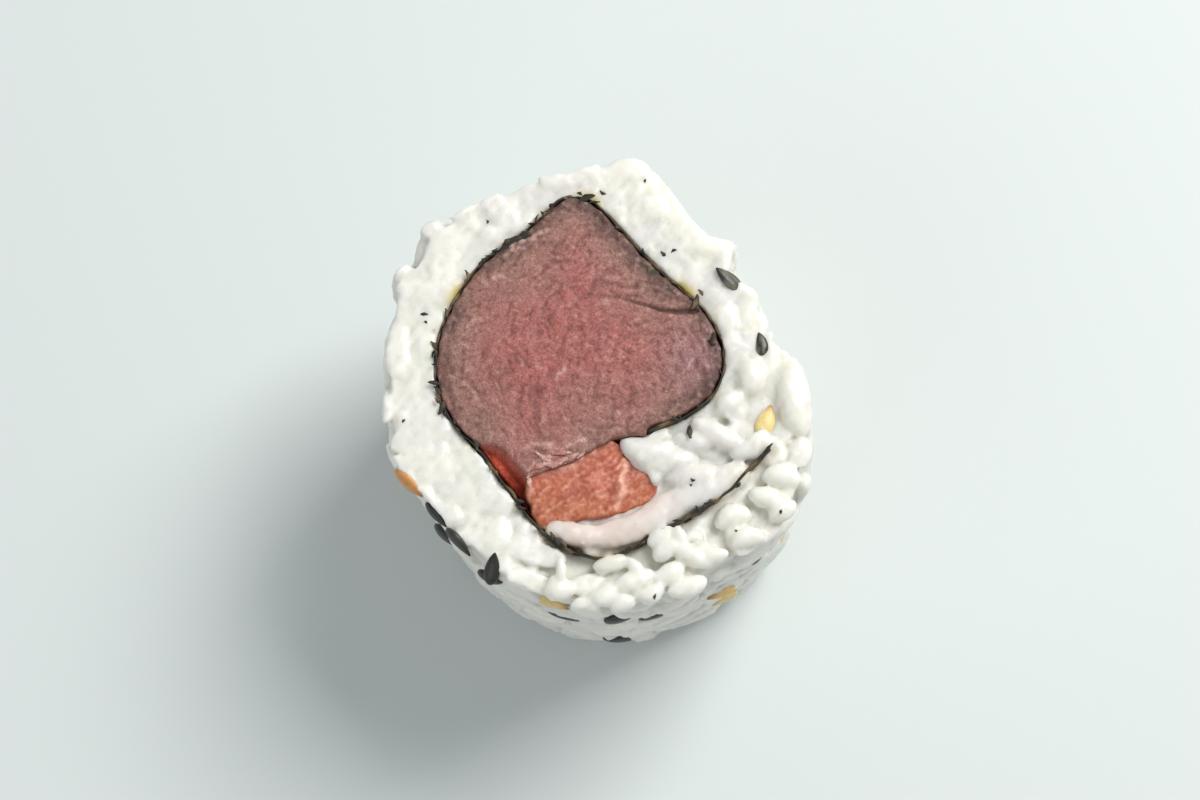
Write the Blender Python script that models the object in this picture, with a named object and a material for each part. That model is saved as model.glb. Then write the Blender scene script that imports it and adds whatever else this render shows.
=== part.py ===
"""One piece of inside-out tuna roll, standing on its cut end.

A ring of rice with sesame seeds on it is rolled round a sheet of nori. The nori goes once round a
block of raw tuna and a paler strip of tuna, and its tail runs on under a pocket of rice, which
joins the ring past the tail's end. The part's origin is the middle of the face it stands on.
"""

import math
import random

import bmesh
import bpy
from mathutils import Matrix, Vector, geometry
from mathutils.bvhtree import BVHTree
import numpy as np

MM = 0.001

# The roll, in millimetres. Every outline below is on the upper cut face, seen from above.
HEIGHT = 32.0
TWIST_DEG = 6.0
# The share by which the whole section is smaller at the foot.
FOOT_TAPER = 0.08
OUTLINE_STEP_DEG = 20
OUTLINE_RADII = (
    19.6, 17.7, 17.4, 18.1, 21.5, 20.3, 20.9, 21.3, 20.8,
    19.9, 20.1, 19.5, 20.3, 21.2, 21.9, 21.5, 22.0, 21.3,
)
# Lumps and notches round the rim: direction and half width in degrees, and height. They fade out
# between these depths under the upper face.
RIM_BUMPS = (
    (82, 11, 0.9), (47, 7, 1.4), (38, 6, -1.6), (12, 7, -1.3), (98, 8, -0.2), (109, 6, 0.7),
    (137, 7, 0.6), (146, 4, -0.4), (152, 7, 0.7), (330, 12, 0.4),
)
RIM_BUMPS_FADE = (9.0, 4.0)
# How wide the wall is at each height, as shares of the outline and of the roll's height.
WALL_PROFILE = ((0.0, 0.955), (0.08, 1.0), (0.4, 1.01), (0.92, 1.0), (1.0, 0.975))
CORE_INSET = 0.85
CORE_TOP_DROP = 0.7
CORE_SIDES = 48
# Low relief: its height, and how fast it rises and falls along X and Y, in radians a millimetre.
CORE_RELIEF = (0.2, 0.9, 0.8)

# The sheet of nori, from its inner end round the tuna to the end of its tail.
NORI_THICKNESS = 0.45
NORI_FOOT = 0.4
NORI_PROUD = 0.1
GAP = 0.3
SECTION_STEP = 1.7
NORI_LINE = (
    (4.9, -4.7), (6.6, -4.0), (8.7, -3.1), (10.5, -1.7), (11.7, 0.6), (11.7, 2.9), (10.9, 5.3),
    (9.1, 7.5), (6.6, 9.7), (4.2, 12.1), (2.1, 14.5), (0.0, 16.7), (-1.2, 17.3), (-2.4, 17.6),
    (-3.6, 17.0), (-4.4, 16.1), (-5.6, 15.0), (-7.4, 13.5), (-10.9, 10.7), (-13.6, 6.4),
    (-14.6, 2.9), (-14.4, -0.9), (-12.9, -4.0), (-10.6, -6.4), (-9.0, -8.5), (-7.4, -10.5),
    (-5.7, -12.8), (-3.9, -14.6), (-1.4, -15.9), (1.4, -16.3), (4.5, -15.0), (7.3, -13.4),
    (10.1, -11.8), (12.3, -10.2), (14.0, -8.3), (16.0, -6.4),
)
# Where the tuna block meets the strip, from the nori to the pocket of rice.
SEAM_LINE = ((-6.0, -12.0), (-6.2, -10.4), (-5.6, -8.7), (-2.6, -7.8), (-0.4, -6.5), (1.5, -5.4))
# The pocket's edge, from the nori's inner end round the strip to the tip of its tongue.
POCKET_LINE = (
    (4.5, -4.9), (2.6, -5.7), (2.9, -6.9), (4.4, -8.1), (6.0, -9.6), (4.9, -11.0), (1.8, -12.3),
    (-1.6, -12.8), (-3.2, -13.9),
)
SEAM_CORNER = 1
TUNA_CREST = 0.3
TUNA_CREST_MIDDLE = (0, 3)
TUNA_CREST_REACH = (9, 11)
TUNA_HOLLOW_LINE = ((-9.6, -8.2), (-6.9, -11.2))
TUNA_HOLLOW_REACH = 2.3
TUNA_HOLLOW_DEPTH = 2.6
TUNA_HOLLOW_STEEP = 2.2
STRIP_DROP = 0.5
STRIP_RELIEF = (0.25, 0.9, 0.7)
RELIEF_STEP = 1.9

# Cooked rice grains: length, width and thickness, how many are fused to the core, and how they stray.
GRAIN_SIZE = (6.4, 2.8, 2.3)
GRAIN_RINGS = (-0.66, 0.66)
PELLET_SIDES = 5
GRAIN_DRAW = 7
WALL_GRAINS = 168
WALL_GRAIN_SUNK = (0.9, 1.4)
WALL_GRAIN_STRAY = 0.04
WALL_GRAIN_SCALES = (0.85, 1.1)
WALL_GRAIN_MOVES = (0, 0.3, 0.6)
FACE_GRAIN_TRIALS = 320
FACE_GRAIN_SPACING = 1.1 * GRAIN_SIZE[1]
FACE_GRAIN_TURNS = 24
FACE_GRAIN_SHORT = 0.7
FACE_GRAIN_SUNK = 0.35
FACE_GRAIN_CLEAR = 0.25
PIECE_CLEAR = 0.15

# Sesame seeds: length, width and thickness, and where the ones seen in the photograph lie.
SEED_SIZE = (3.3, 1.9, 0.9)
SEED_RINGS = (-0.5, 0.35)
SEED_TIP = 0.3
SEED_SUNK = 0.12
SEED_DRAW = 5
# The rest are spread round the wall, but not where the photograph shows it: two ranges of
# directions in degrees, and the height above which each is seen.
SPREAD_SEEDS = 48
SPREAD_HEIGHTS = (2.0, 25.5)
SPREAD_STRAY = 0.05
SEEN_WALL = ((195, 295, 10.0), (235, 300, 0.0))
# Each: direction from the axis in degrees, height on the wall, turn of its long axis in degrees,
# and how far it lies over from the wall towards the upper face, in degrees.
RIM_SEEDS = (
    (209.5, 31.3, 16, 40), (221, 31.0, 6, 20), (225, 26.6, 25, 10), (230.7, 31.2, -8, 8),
    (242.3, 32.0, 100, 60), (242.9, 30.0, 30, 15), (38, 31.6, 34, 55), (259.5, 29.2, -12, 10),
    (263, 24.0, -22, 5), (277, 25.7, 34, 5), (287, 21.2, -25, 5), (278, 9.0, -40, 0),
)
# Each: X and Y on the upper face, and turn of its long axis in degrees.
FACE_SEEDS = ((15.2, 3.4, 98), (15.6, -3.6, 70))
SEED_SPACING = 3.4
SEED_REACH = 5

GOLDEN_SHARE = (math.sqrt(5) - 1) / 2
GOLDEN_TURN = math.pi * (3 - math.sqrt(5))
FULL_TURN = 2 * math.pi


def clear_scene():
    for obj in list(bpy.data.objects):
        bpy.data.objects.remove(obj, do_unlink=True)


def catmull_rom(before, start, end, after, t):
    return 0.5 * (
        2 * start
        + (end - before) * t
        + (2 * before - 5 * start + 4 * end - after) * t**2
        + (3 * start - before - 3 * end + after) * t**3
    )


def smooth_line(points, step=SECTION_STEP):
    """Points a step apart along a smooth open curve through the given ones."""
    knots = np.array(points, float)
    knots = np.vstack([2 * knots[0] - knots[1], knots, 2 * knots[-1] - knots[-2]])
    fine = [
        catmull_rom(*knots[i : i + 4], t)
        for i in range(len(knots) - 3)
        for t in np.linspace(0, 1, 16, endpoint=False)
    ]
    fine = np.array(fine + [knots[-2]])
    along = np.concatenate([[0], np.cumsum(np.linalg.norm(np.diff(fine, axis=0), axis=1))])
    at = np.linspace(0, along[-1], max(2, round(along[-1] / step)) + 1)
    return np.column_stack([np.interp(at, along, fine[:, axis]) for axis in (0, 1)])


def left_of(line, distance):
    """The line moved sideways, to the left of its own direction where distance is positive."""
    along = np.gradient(line, axis=0)
    along /= np.linalg.norm(along, axis=1)[:, None]
    return line + distance * np.column_stack([-along[:, 1], along[:, 0]])


def grown(loop, distance):
    """A closed anticlockwise loop with each side moved outwards by the distance."""
    sides = np.roll(loop, -1, axis=0) - loop
    sides /= np.linalg.norm(sides, axis=1)[:, None]
    outward = np.column_stack([sides[:, 1], -sides[:, 0]])
    corner = outward + np.roll(outward, 1, axis=0)
    corner /= (corner * corner).sum(axis=1)[:, None] / 2
    return loop + distance * corner


def is_inside(point, loop):
    x, y = point[0], point[1]
    x0, y0 = loop[:, 0], loop[:, 1]
    x1, y1 = np.roll(x0, -1), np.roll(y0, -1)
    crosses = (y0 > y) != (y1 > y)
    rise = np.where(y1 == y0, 1.0, y1 - y0)
    return bool((crosses & (x < x0 + (y - y0) * (x1 - x0) / rise)).sum() % 2)


def distance_to(point, line, closed=True):
    ends = np.roll(line, -1, axis=0) if closed else line[1:]
    starts = line if closed else line[:-1]
    along = ends - starts
    share = ((point - starts) * along).sum(axis=1) / (along * along).sum(axis=1)
    nearest = starts + np.clip(share, 0, 1)[:, None] * along
    return float(np.linalg.norm(point - nearest, axis=1).min())


def outline_radius(angle):
    """The roll's radius in this direction, on the upper face."""
    place = math.degrees(angle % FULL_TURN) / OUTLINE_STEP_DEG
    first = int(place)
    near = [OUTLINE_RADII[(first + k) % len(OUTLINE_RADII)] for k in (-1, 0, 1, 2)]
    return catmull_rom(*near, place - first)


def wall_share(z):
    heights, shares = zip(*WALL_PROFILE)
    return float(np.interp(z / HEIGHT, heights, shares))


def wall_radius(angle, z):
    """How far the wall is from the axis, with the rim's lumps and notches."""
    bumps = 0.0
    for middle_deg, half_deg, height in RIM_BUMPS:
        apart = (math.degrees(angle) - middle_deg + 180) % 360 - 180
        bumps += height * math.exp(-((1.6 * apart / half_deg) ** 2))
    fade = np.interp(HEIGHT - z, RIM_BUMPS_FADE[::-1], (1.0, 0.0))
    return outline_radius(angle) * wall_share(z) + bumps * float(fade)


def turned(x, y, z):
    """A point of the upper face's section, taken down to height z. The roll twists and tapers."""
    angle = math.radians(TWIST_DEG) * (z / HEIGHT - 1)
    size = 1 + FOOT_TAPER * (z / HEIGHT - 1)
    cos, sin = size * math.cos(angle), size * math.sin(angle)
    return Vector((x * cos - y * sin, x * sin + y * cos, z))


def on_face(point):
    """Where a point of the roll lies in the upper face's section: the way back from turned."""
    angle = -math.radians(TWIST_DEG) * (point.z / HEIGHT - 1)
    size = 1 + FOOT_TAPER * (point.z / HEIGHT - 1)
    cos, sin = math.cos(angle) / size, math.sin(angle) / size
    return np.array((point.x * cos - point.y * sin, point.x * sin + point.y * cos))


def on_wall(angle, z, inset=0.0):
    radius = wall_radius(angle, z) - inset
    return turned(radius * math.cos(angle), radius * math.sin(angle), z)


def wall_frame(angle, z, inset=0.0):
    """A place on the wall, with the directions round it, up it and out of it."""
    near = math.radians(1)
    round_it = (on_wall(angle + near, z) - on_wall(angle - near, z)).normalized()
    up_it = Vector((0, 0, 1))
    outward = round_it.cross(up_it).normalized()
    return on_wall(angle, z, inset), round_it, up_it, outward


def ripple(x, y, relief):
    height, along_x, along_y = relief
    return height * math.sin(x * along_x) * math.cos(y * along_y)


def nori_sides():
    """The nori's middle line, and the lines halfway across the gaps inside and outside it."""
    middle = smooth_line(NORI_LINE)
    half = (NORI_THICKNESS + GAP) / 2
    return middle, left_of(middle, half), left_of(middle, -half)


def nearest_index(line, point):
    return int(np.linalg.norm(line - np.array(point), axis=1).argmin())


def sections():
    """The loops of the solids that fill the roll, and of the hole in the rice that they stand in."""
    middle, inner, outer = nori_sides()
    seam = smooth_line(SEAM_LINE)
    pocket = smooth_line(POCKET_LINE, SECTION_STEP * 0.8)
    foot = nearest_index(inner, SEAM_LINE[0])
    tongue = nearest_index(inner, POCKET_LINE[-1])
    tip = nearest_index(pocket, POCKET_LINE[SEAM_CORNER])
    tuna = np.vstack([inner[: foot + 1], seam[1:], pocket[tip - 1 :: -1]])
    strip = np.vstack([inner[foot + 1 : tongue + 1], pocket[:tip:-1], seam[:0:-1]])
    end = middle[-1] + (middle[-1] - middle[-2]) / SECTION_STEP * GAP
    hole = np.vstack([outer, end[None], inner[: tongue : -1], pocket[::-1]])
    half = NORI_THICKNESS / 2
    nori = np.vstack([left_of(middle, -half), left_of(middle, half)[::-1]])
    return {
        "tuna": grown(tuna, -GAP / 2),
        "tuna_strip": grown(strip, -GAP / 2),
        "nori": nori,
        "hole": grown(hole, GAP / 2),
    }


def relief_points(loops, step):
    """Loose points on a triangular grid, clear of the loops, inside the first and outside the rest."""
    low, high = loops[0].min(axis=0), loops[0].max(axis=0)
    found = []
    for row, y in enumerate(np.arange(low[1], high[1], step * math.sqrt(3) / 2)):
        for x in np.arange(low[0] + (row % 2) * step / 2, high[0], step):
            point = np.array((x, y))
            if not is_inside(point, loops[0]) or any(is_inside(point, hole) for hole in loops[1:]):
                continue
            if min(distance_to(point, loop) for loop in loops) > 0.5 * step:
                found.append(point)
    return found


def close_end(mesh, rings, loose, z):
    """Triangles over one end of the walls, through its loose points."""
    loops = [np.array([vertex.co.xy for vertex in ring]) for ring in rings]
    corners = [vertex for ring in rings for vertex in ring]
    corners += [mesh.verts.new(turned(*point, z)) for point in loose]
    edges, first = [], 0
    for ring in rings:
        edges += [(first + i, first + (i + 1) % len(ring)) for i in range(len(ring))]
        first += len(ring)
    flat = [vertex.co.xy for vertex in corners]
    points, _, faces, sources, _, _ = geometry.delaunay_2d_cdt(flat, edges, [], 0, 1e-7)
    for face in faces:
        middle = np.mean([points[i] for i in face], axis=0)
        if is_inside(middle, loops[0]) and not any(is_inside(middle, hole) for hole in loops[1:]):
            mesh.faces.new([corners[sources[i][0]] for i in face])


def standing_mesh(name, walls, foot, top_step, top_relief):
    """A closed solid between two cut faces. Each wall is rings of points, one at each level."""
    mesh = bmesh.new()
    rings = [[[mesh.verts.new(point) for point in ring] for ring in wall] for wall in walls]
    for wall in rings:
        for lower, upper in zip(wall, wall[1:]):
            for i in range(len(lower)):
                j = (i + 1) % len(lower)
                mesh.faces.new((lower[i], lower[j], upper[j], upper[i]))
    top_rings = [wall[-1] for wall in rings]
    flat_loops = [np.array([vertex.co.xy for vertex in ring]) for ring in top_rings]
    loose = relief_points(flat_loops, top_step) if top_step else []
    walls_end = len(mesh.verts)
    close_end(mesh, [wall[0] for wall in rings], [], foot)
    close_end(mesh, top_rings, loose, HEIGHT)
    mesh.verts.ensure_lookup_table()
    for vertex in [vertex for ring in top_rings for vertex in ring] + mesh.verts[walls_end:]:
        vertex.co.z = HEIGHT + top_relief(vertex.co.x, vertex.co.y)
    bmesh.ops.recalc_face_normals(mesh, faces=mesh.faces)
    bmesh.ops.triangulate(mesh, faces=mesh.faces)
    data = bpy.data.meshes.new(name)
    mesh.to_mesh(data)
    mesh.free()
    return data


def straight_wall(loop, foot, levels=3):
    return [[turned(x, y, z) for x, y in loop] for z in np.linspace(foot, HEIGHT, levels)]


def add_object(name, data, material=None):
    obj = bpy.data.objects.new(name, data)
    bpy.context.scene.collection.objects.link(obj)
    if material:
        data.materials.clear()
        data.materials.append(material)
    return obj


def add_material(name, colour, roughness):
    material = bpy.data.materials.new(name)
    material.use_nodes = True
    shader = material.node_tree.nodes["Principled BSDF"]
    shader.inputs["Base Color"].default_value = (*colour, 1)
    shader.inputs["Roughness"].default_value = roughness
    shader.inputs["Metallic"].default_value = 0
    return material


def make_nori(loops):
    wall = straight_wall(loops["nori"], NORI_FOOT)
    data = standing_mesh("nori", [wall], NORI_FOOT, None, lambda x, y: NORI_PROUD)
    add_object("nori", data, add_material("nori", (0.02, 0.025, 0.015), 0.5))


def tuna_relief(x, y):
    """The block's cut face: it swells a little, and drops where the flesh has torn off the strip."""
    point = np.array((x, y))
    line = np.array(TUNA_HOLLOW_LINE)
    near = 1 - distance_to(point, line, closed=False) / TUNA_HOLLOW_REACH
    depth = TUNA_HOLLOW_DEPTH * min(1, max(0, TUNA_HOLLOW_STEEP * near))
    from_middle = (point - TUNA_CREST_MIDDLE) / TUNA_CREST_REACH
    return TUNA_CREST * float(np.cos(from_middle).prod()) - depth


def make_tuna(loops):
    wall = straight_wall(loops["tuna"], GAP)
    data = standing_mesh("tuna", [wall], GAP, RELIEF_STEP, tuna_relief)
    add_object("tuna", data, add_material("tuna", (0.3, 0.1, 0.09), 0.45))


def strip_relief(x, y):
    return ripple(x, y, STRIP_RELIEF) - STRIP_DROP


def make_strip(loops):
    wall = straight_wall(loops["tuna_strip"], GAP)
    data = standing_mesh("tuna_strip", [wall], GAP, RELIEF_STEP, strip_relief)
    add_object("tuna_strip", data, add_material("tuna_strip", (0.5, 0.12, 0.06), 0.4))


def core_relief(x, y):
    return ripple(x, y, CORE_RELIEF) - CORE_TOP_DROP


def make_core(loops):
    angles = [FULL_TURN * i / CORE_SIDES for i in range(CORE_SIDES)]
    levels = [share * HEIGHT for share, _ in WALL_PROFILE]
    wall = [[on_wall(angle, z, CORE_INSET) for angle in angles] for z in levels]
    hole = straight_wall(loops["hole"], 0)
    return standing_mesh("rice", [wall, hole], 0, SECTION_STEP * 2, core_relief)


def pellet(name, size, rings, tip=0.0):
    """A seed or grain along X: rings at shares of its half length, narrower towards +X by the tip."""
    sides = PELLET_SIDES
    half = [side / 2 for side in size]
    mesh = bmesh.new()
    hoops = []
    for share in rings:
        swell = math.sqrt(1 - abs(share) ** 3) * (1 - tip * share)
        turns = [FULL_TURN * (i + 0.5) / sides for i in range(sides)]
        hoops.append(
            [
                mesh.verts.new(
                    (half[0] * share, half[1] * swell * math.cos(a), half[2] * swell * math.sin(a))
                )
                for a in turns
            ]
        )
    ends = [mesh.verts.new((half[0] * side, 0, 0)) for side in (-1, 1)]
    for i in range(sides):
        j = (i + 1) % sides
        mesh.faces.new((ends[0], hoops[0][j], hoops[0][i]))
        mesh.faces.new((ends[1], hoops[-1][i], hoops[-1][j]))
        for near, far in zip(hoops, hoops[1:]):
            mesh.faces.new((near[i], near[j], far[j], far[i]))
    bmesh.ops.recalc_face_normals(mesh, faces=mesh.faces)
    bmesh.ops.triangulate(mesh, faces=mesh.faces)
    data = bpy.data.meshes.new(name)
    mesh.to_mesh(data)
    mesh.free()
    return data


def placed(origin, along, outward, scale=1.0):
    """The matrix that lays a pellet with its length along one direction and its thickness outward."""
    along = (along - outward * along.dot(outward)).normalized()
    across = outward.cross(along)
    turn = Matrix((along, across, outward)).transposed().to_4x4()
    return Matrix.Translation(origin) @ turn @ Matrix.Scale(scale, 4, (1, 0, 0))


def is_clear(place, data, hole):
    """Whether a placed grain stays out of the hole for the nori and the fillings."""
    corners = [on_face(place @ vertex.co) for vertex in data.vertices]
    return not any(is_inside(c, hole) or distance_to(c, hole) < PIECE_CLEAR for c in corners)


def grains_on_wall(draw, data, hole):
    """Grains spread evenly over the wall by the golden angle, each turned its own way.

    Where the ring of rice is thin a grain is moved out, and left out if that isn't enough.
    """
    places = []
    half = GRAIN_SIZE[0] / 2
    for i in range(WALL_GRAINS):
        z = HEIGHT * (i + 0.5) / WALL_GRAINS
        angle = i * GOLDEN_TURN + draw.uniform(-WALL_GRAIN_STRAY, WALL_GRAIN_STRAY)
        sunk = draw.uniform(*WALL_GRAIN_SUNK)
        room = max(0.0, min(z, HEIGHT - z) - GRAIN_SIZE[1] / 2)
        z = min(max(z, GRAIN_SIZE[1] * 0.6), HEIGHT - GRAIN_SIZE[1] * 0.5)
        steepest = math.asin(min(1, room / half))
        turn = draw.uniform(-1, 1) * steepest
        scale = draw.uniform(*WALL_GRAIN_SCALES)
        for moved_out in WALL_GRAIN_MOVES:
            origin, round_it, up_it, outward = wall_frame(angle, z, sunk - moved_out)
            along = round_it * math.cos(turn) + up_it * math.sin(turn)
            place = placed(origin, along, outward, scale)
            if is_clear(place, data, hole):
                places.append(place)
                break
    return places


def fits_face(point, along, half_length, half_width, loops):
    """Whether a grain lying on the cut face stays on the rice."""
    for share in (-1, -0.5, 0, 0.5, 1):
        place = point + along * share * (half_length - half_width * 0.6)
        angle = math.atan2(place[1], place[0])
        edge = wall_radius(angle, HEIGHT) - half_width * 0.5
        if np.linalg.norm(place) > edge:
            return False
        if is_inside(place, loops["hole"]):
            return False
        if distance_to(place, loops["hole"]) < half_width + FACE_GRAIN_CLEAR:
            return False
    return True


def grains_on_face(draw, loops):
    """Grains lying in the upper cut face, over the ring and the pocket, clear of the nori and tuna."""
    places, taken = [], []
    reach = max(OUTLINE_RADII)
    for i in range(FACE_GRAIN_TRIALS):
        angle = i * GOLDEN_TURN
        spread = reach * math.sqrt((i + 0.5) / FACE_GRAIN_TRIALS)
        point = np.array((spread * math.cos(angle), spread * math.sin(angle)))
        if any(np.linalg.norm(point - other) < FACE_GRAIN_SPACING for other in taken):
            continue
        for trial in range(FACE_GRAIN_TURNS):
            turn = draw.uniform(0, math.pi)
            along = np.array((math.cos(turn), math.sin(turn)))
            scale = 1.0 if trial < FACE_GRAIN_TURNS / 2 else FACE_GRAIN_SHORT
            if fits_face(point, along, GRAIN_SIZE[0] / 2 * scale, GRAIN_SIZE[1] / 2, loops):
                height = HEIGHT - GRAIN_SIZE[2] / 2 - draw.uniform(0, FACE_GRAIN_SUNK)
                taken.append(point)
                places.append(
                    placed(
                        Vector((*point, height)), Vector((*along, 0)), Vector((0, 0, 1)), scale
                    )
                )
                break
    return places


def seed_rays():
    """Where each seed is laid: a start outside the roll, the direction in, and its length's direction."""
    draw = random.Random(SEED_DRAW)
    wall_seeds = [(math.radians(a), z, math.radians(t), math.radians(o)) for a, z, t, o in RIM_SEEDS]
    for i in range(SPREAD_SEEDS):
        z = SPREAD_HEIGHTS[0] + np.ptp(SPREAD_HEIGHTS) * (i * GOLDEN_SHARE % 1)
        angle = FULL_TURN * (i + 0.5) / SPREAD_SEEDS + draw.uniform(-SPREAD_STRAY, SPREAD_STRAY)
        turn = draw.uniform(0, math.pi)
        degrees = math.degrees(angle)
        if not any(start < degrees < end and z > low for start, end, low in SEEN_WALL):
            wall_seeds.append((angle, z, turn, 0.0))
    rays, taken = [], []
    for index, (angle, z, turn, over) in enumerate(wall_seeds):
        origin, round_it, up_it, outward = wall_frame(angle, z)
        near = any((origin - other).length < SEED_SPACING for other in taken)
        if near and index >= len(RIM_SEEDS):
            continue
        taken.append(origin)
        along = round_it * math.cos(turn) + up_it * math.sin(turn)
        away = outward * math.cos(over) + up_it * math.sin(over)
        rays.append((origin + away * SEED_REACH, -away, along))
    for x, y, turn_deg in FACE_SEEDS:
        turn = math.radians(turn_deg)
        along = Vector((math.cos(turn), math.sin(turn), 0))
        rays.append((Vector((x, y, HEIGHT + SEED_REACH)), Vector((0, 0, -1)), along))
    return rays


def seeds_on(surface):
    """Seeds lying on whatever the rays meet first, a little sunk."""
    places = []
    for start, inward, along in seed_rays():
        spot, normal, _, _ = surface.ray_cast(start, inward)
        outward = (normal.normalized() * 0.5 - inward).normalized()
        places.append(placed(spot - outward * SEED_SUNK, along, outward))
    return places


def surface_of(data_places):
    """One tree over the faces of several placed meshes."""
    points, faces = [], []
    for data, place in data_places:
        first = len(points)
        points += [place @ vertex.co for vertex in data.vertices]
        faces += [[first + i for i in face.vertices] for face in data.polygons]
    return BVHTree.FromPolygons(points, faces)


def largest_shell(data):
    """Keeps the outer shell: fills what the fused pieces sealed, and drops loose scraps."""
    mesh = bmesh.new()
    mesh.from_mesh(data)
    mesh.verts.ensure_lookup_table()
    unseen, shells = set(mesh.verts), []
    while unseen:
        shell, reach = set(), [unseen.pop()]
        while reach:
            vertex = reach.pop()
            shell.add(vertex)
            for edge in vertex.link_edges:
                other = edge.other_vert(vertex)
                if other in unseen:
                    unseen.discard(other)
                    reach.append(other)
        shells.append(shell)
    shells.sort(key=len)
    for shell in shells[:-1]:
        bmesh.ops.delete(mesh, geom=list(shell), context="VERTS")
    mesh.to_mesh(data)
    mesh.free()


def make_rice(loops):
    """The core with its grains and seeds, fused into one solid."""
    draw = random.Random(GRAIN_DRAW)
    core = make_core(loops)
    grain = pellet("grain", GRAIN_SIZE, GRAIN_RINGS)
    seed = pellet("seed", SEED_SIZE, SEED_RINGS, SEED_TIP)
    places = grains_on_wall(draw, grain, loops["hole"]) + grains_on_face(draw, loops)
    pieces = [(grain, place) for place in places]
    surface = surface_of([(core, Matrix()), *pieces])
    pieces += [(seed, place) for place in seeds_on(surface)]

    rice = add_object("rice", core, add_material("rice", (0.86, 0.85, 0.79), 0.5))
    helpers = bpy.data.collections.new("pieces")
    bpy.context.scene.collection.children.link(helpers)
    for data, place in pieces:
        piece = bpy.data.objects.new("piece", data)
        piece.matrix_world = place
        helpers.objects.link(piece)
    union = rice.modifiers.new("fuse", "BOOLEAN")
    union.operation = "UNION"
    union.operand_type = "COLLECTION"
    union.collection = helpers
    bpy.context.view_layer.update()
    graph = bpy.context.evaluated_depsgraph_get()
    fused = bpy.data.meshes.new_from_object(rice.evaluated_get(graph))
    rice.modifiers.clear()
    rice.data = fused
    for piece in list(helpers.objects):
        bpy.data.objects.remove(piece)
    bpy.data.collections.remove(helpers)
    largest_shell(rice.data)


def finish_parts():
    """Sets the origin under the middle of the roll, turns millimetres to metres, and shades."""
    parts = list(bpy.data.objects)
    corners = np.array([vertex.co for part in parts for vertex in part.data.vertices])
    low, high = corners.min(axis=0), corners.max(axis=0)
    middle = (low + high) / 2
    to_origin = Matrix.Translation((-middle[0], -middle[1], 0))
    for part in parts:
        part.data.transform(Matrix.Scale(MM, 4) @ to_origin)
        part.data.shade_smooth()
        part.data.set_sharp_from_angle(angle=math.radians(40))


def main():
    clear_scene()
    loops = sections()
    make_rice(loops)
    make_nori(loops)
    make_tuna(loops)
    make_strip(loops)
    finish_parts()


main()
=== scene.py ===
"""Looks of a piece of inside-out tuna roll that stands on its cut end.

The nori and the fish are meshes over the same outlines as their solids. The rice is hundreds of
grains, settled against each other between the outline and the nori, pressed by the mat and the
knife and joined to a core a little smaller than its solid.
"""

import math
import random

import bmesh
import bpy
from mathutils import Matrix, Vector, geometry, kdtree, noise
from mathutils.bvhtree import BVHTree
import numpy as np


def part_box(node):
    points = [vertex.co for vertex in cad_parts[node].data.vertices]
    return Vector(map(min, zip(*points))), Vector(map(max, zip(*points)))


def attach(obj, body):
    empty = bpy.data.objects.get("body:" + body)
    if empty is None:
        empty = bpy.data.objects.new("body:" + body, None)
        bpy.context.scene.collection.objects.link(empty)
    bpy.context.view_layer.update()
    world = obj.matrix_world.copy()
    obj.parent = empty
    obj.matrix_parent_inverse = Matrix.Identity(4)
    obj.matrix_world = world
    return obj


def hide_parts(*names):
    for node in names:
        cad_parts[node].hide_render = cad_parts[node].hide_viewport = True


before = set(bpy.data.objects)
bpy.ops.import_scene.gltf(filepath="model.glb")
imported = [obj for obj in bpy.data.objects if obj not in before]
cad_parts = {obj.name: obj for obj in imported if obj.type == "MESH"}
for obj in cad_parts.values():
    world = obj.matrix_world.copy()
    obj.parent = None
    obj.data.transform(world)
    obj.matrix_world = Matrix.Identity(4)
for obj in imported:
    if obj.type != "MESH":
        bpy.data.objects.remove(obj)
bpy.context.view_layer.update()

MM = 0.001
FULL_TURN = 2 * math.pi
UP = np.array((0.0, 0.0, 1.0))
GOLDEN_SHARE = (math.sqrt(5) - 1) / 2

# ---------------- the roll's driving dimensions
# In millimetres, on the upper cut face seen from above, as the solids have them.

HEIGHT = 32.0
TWIST_DEG = 6.0
# The share by which the whole section is smaller at the foot.
FOOT_TAPER = 0.08
OUTLINE_STEP_DEG = 20
OUTLINE_RADII = (
    19.6, 17.7, 17.4, 18.1, 21.5, 20.3, 20.9, 21.3, 20.8,
    19.9, 20.1, 19.5, 20.3, 21.2, 21.9, 21.5, 22.0, 21.3,
)
# Lumps and notches round the rim: direction and half width in degrees, and height. They fade out
# between these depths under the upper face.
RIM_BUMPS = (
    (82, 11, 0.9), (47, 7, 1.4), (38, 6, -1.6), (12, 7, -1.3), (98, 8, -0.2), (109, 6, 0.7),
    (137, 7, 0.6), (146, 4, -0.4), (152, 7, 0.7), (330, 12, 0.4),
)
RIM_BUMPS_FADE = (9.0, 4.0)
RIM_BUMP_STEEP = 1.6
# How wide the wall is at each height, as shares of the outline and of the roll's height.
WALL_PROFILE = ((0.0, 0.955), (0.08, 1.0), (0.4, 1.01), (0.92, 1.0), (1.0, 0.975))
NORI_THICKNESS = 0.45
NORI_FOOT = 0.4
GAP = 0.3
SECTION_STEP = 1.7
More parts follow.
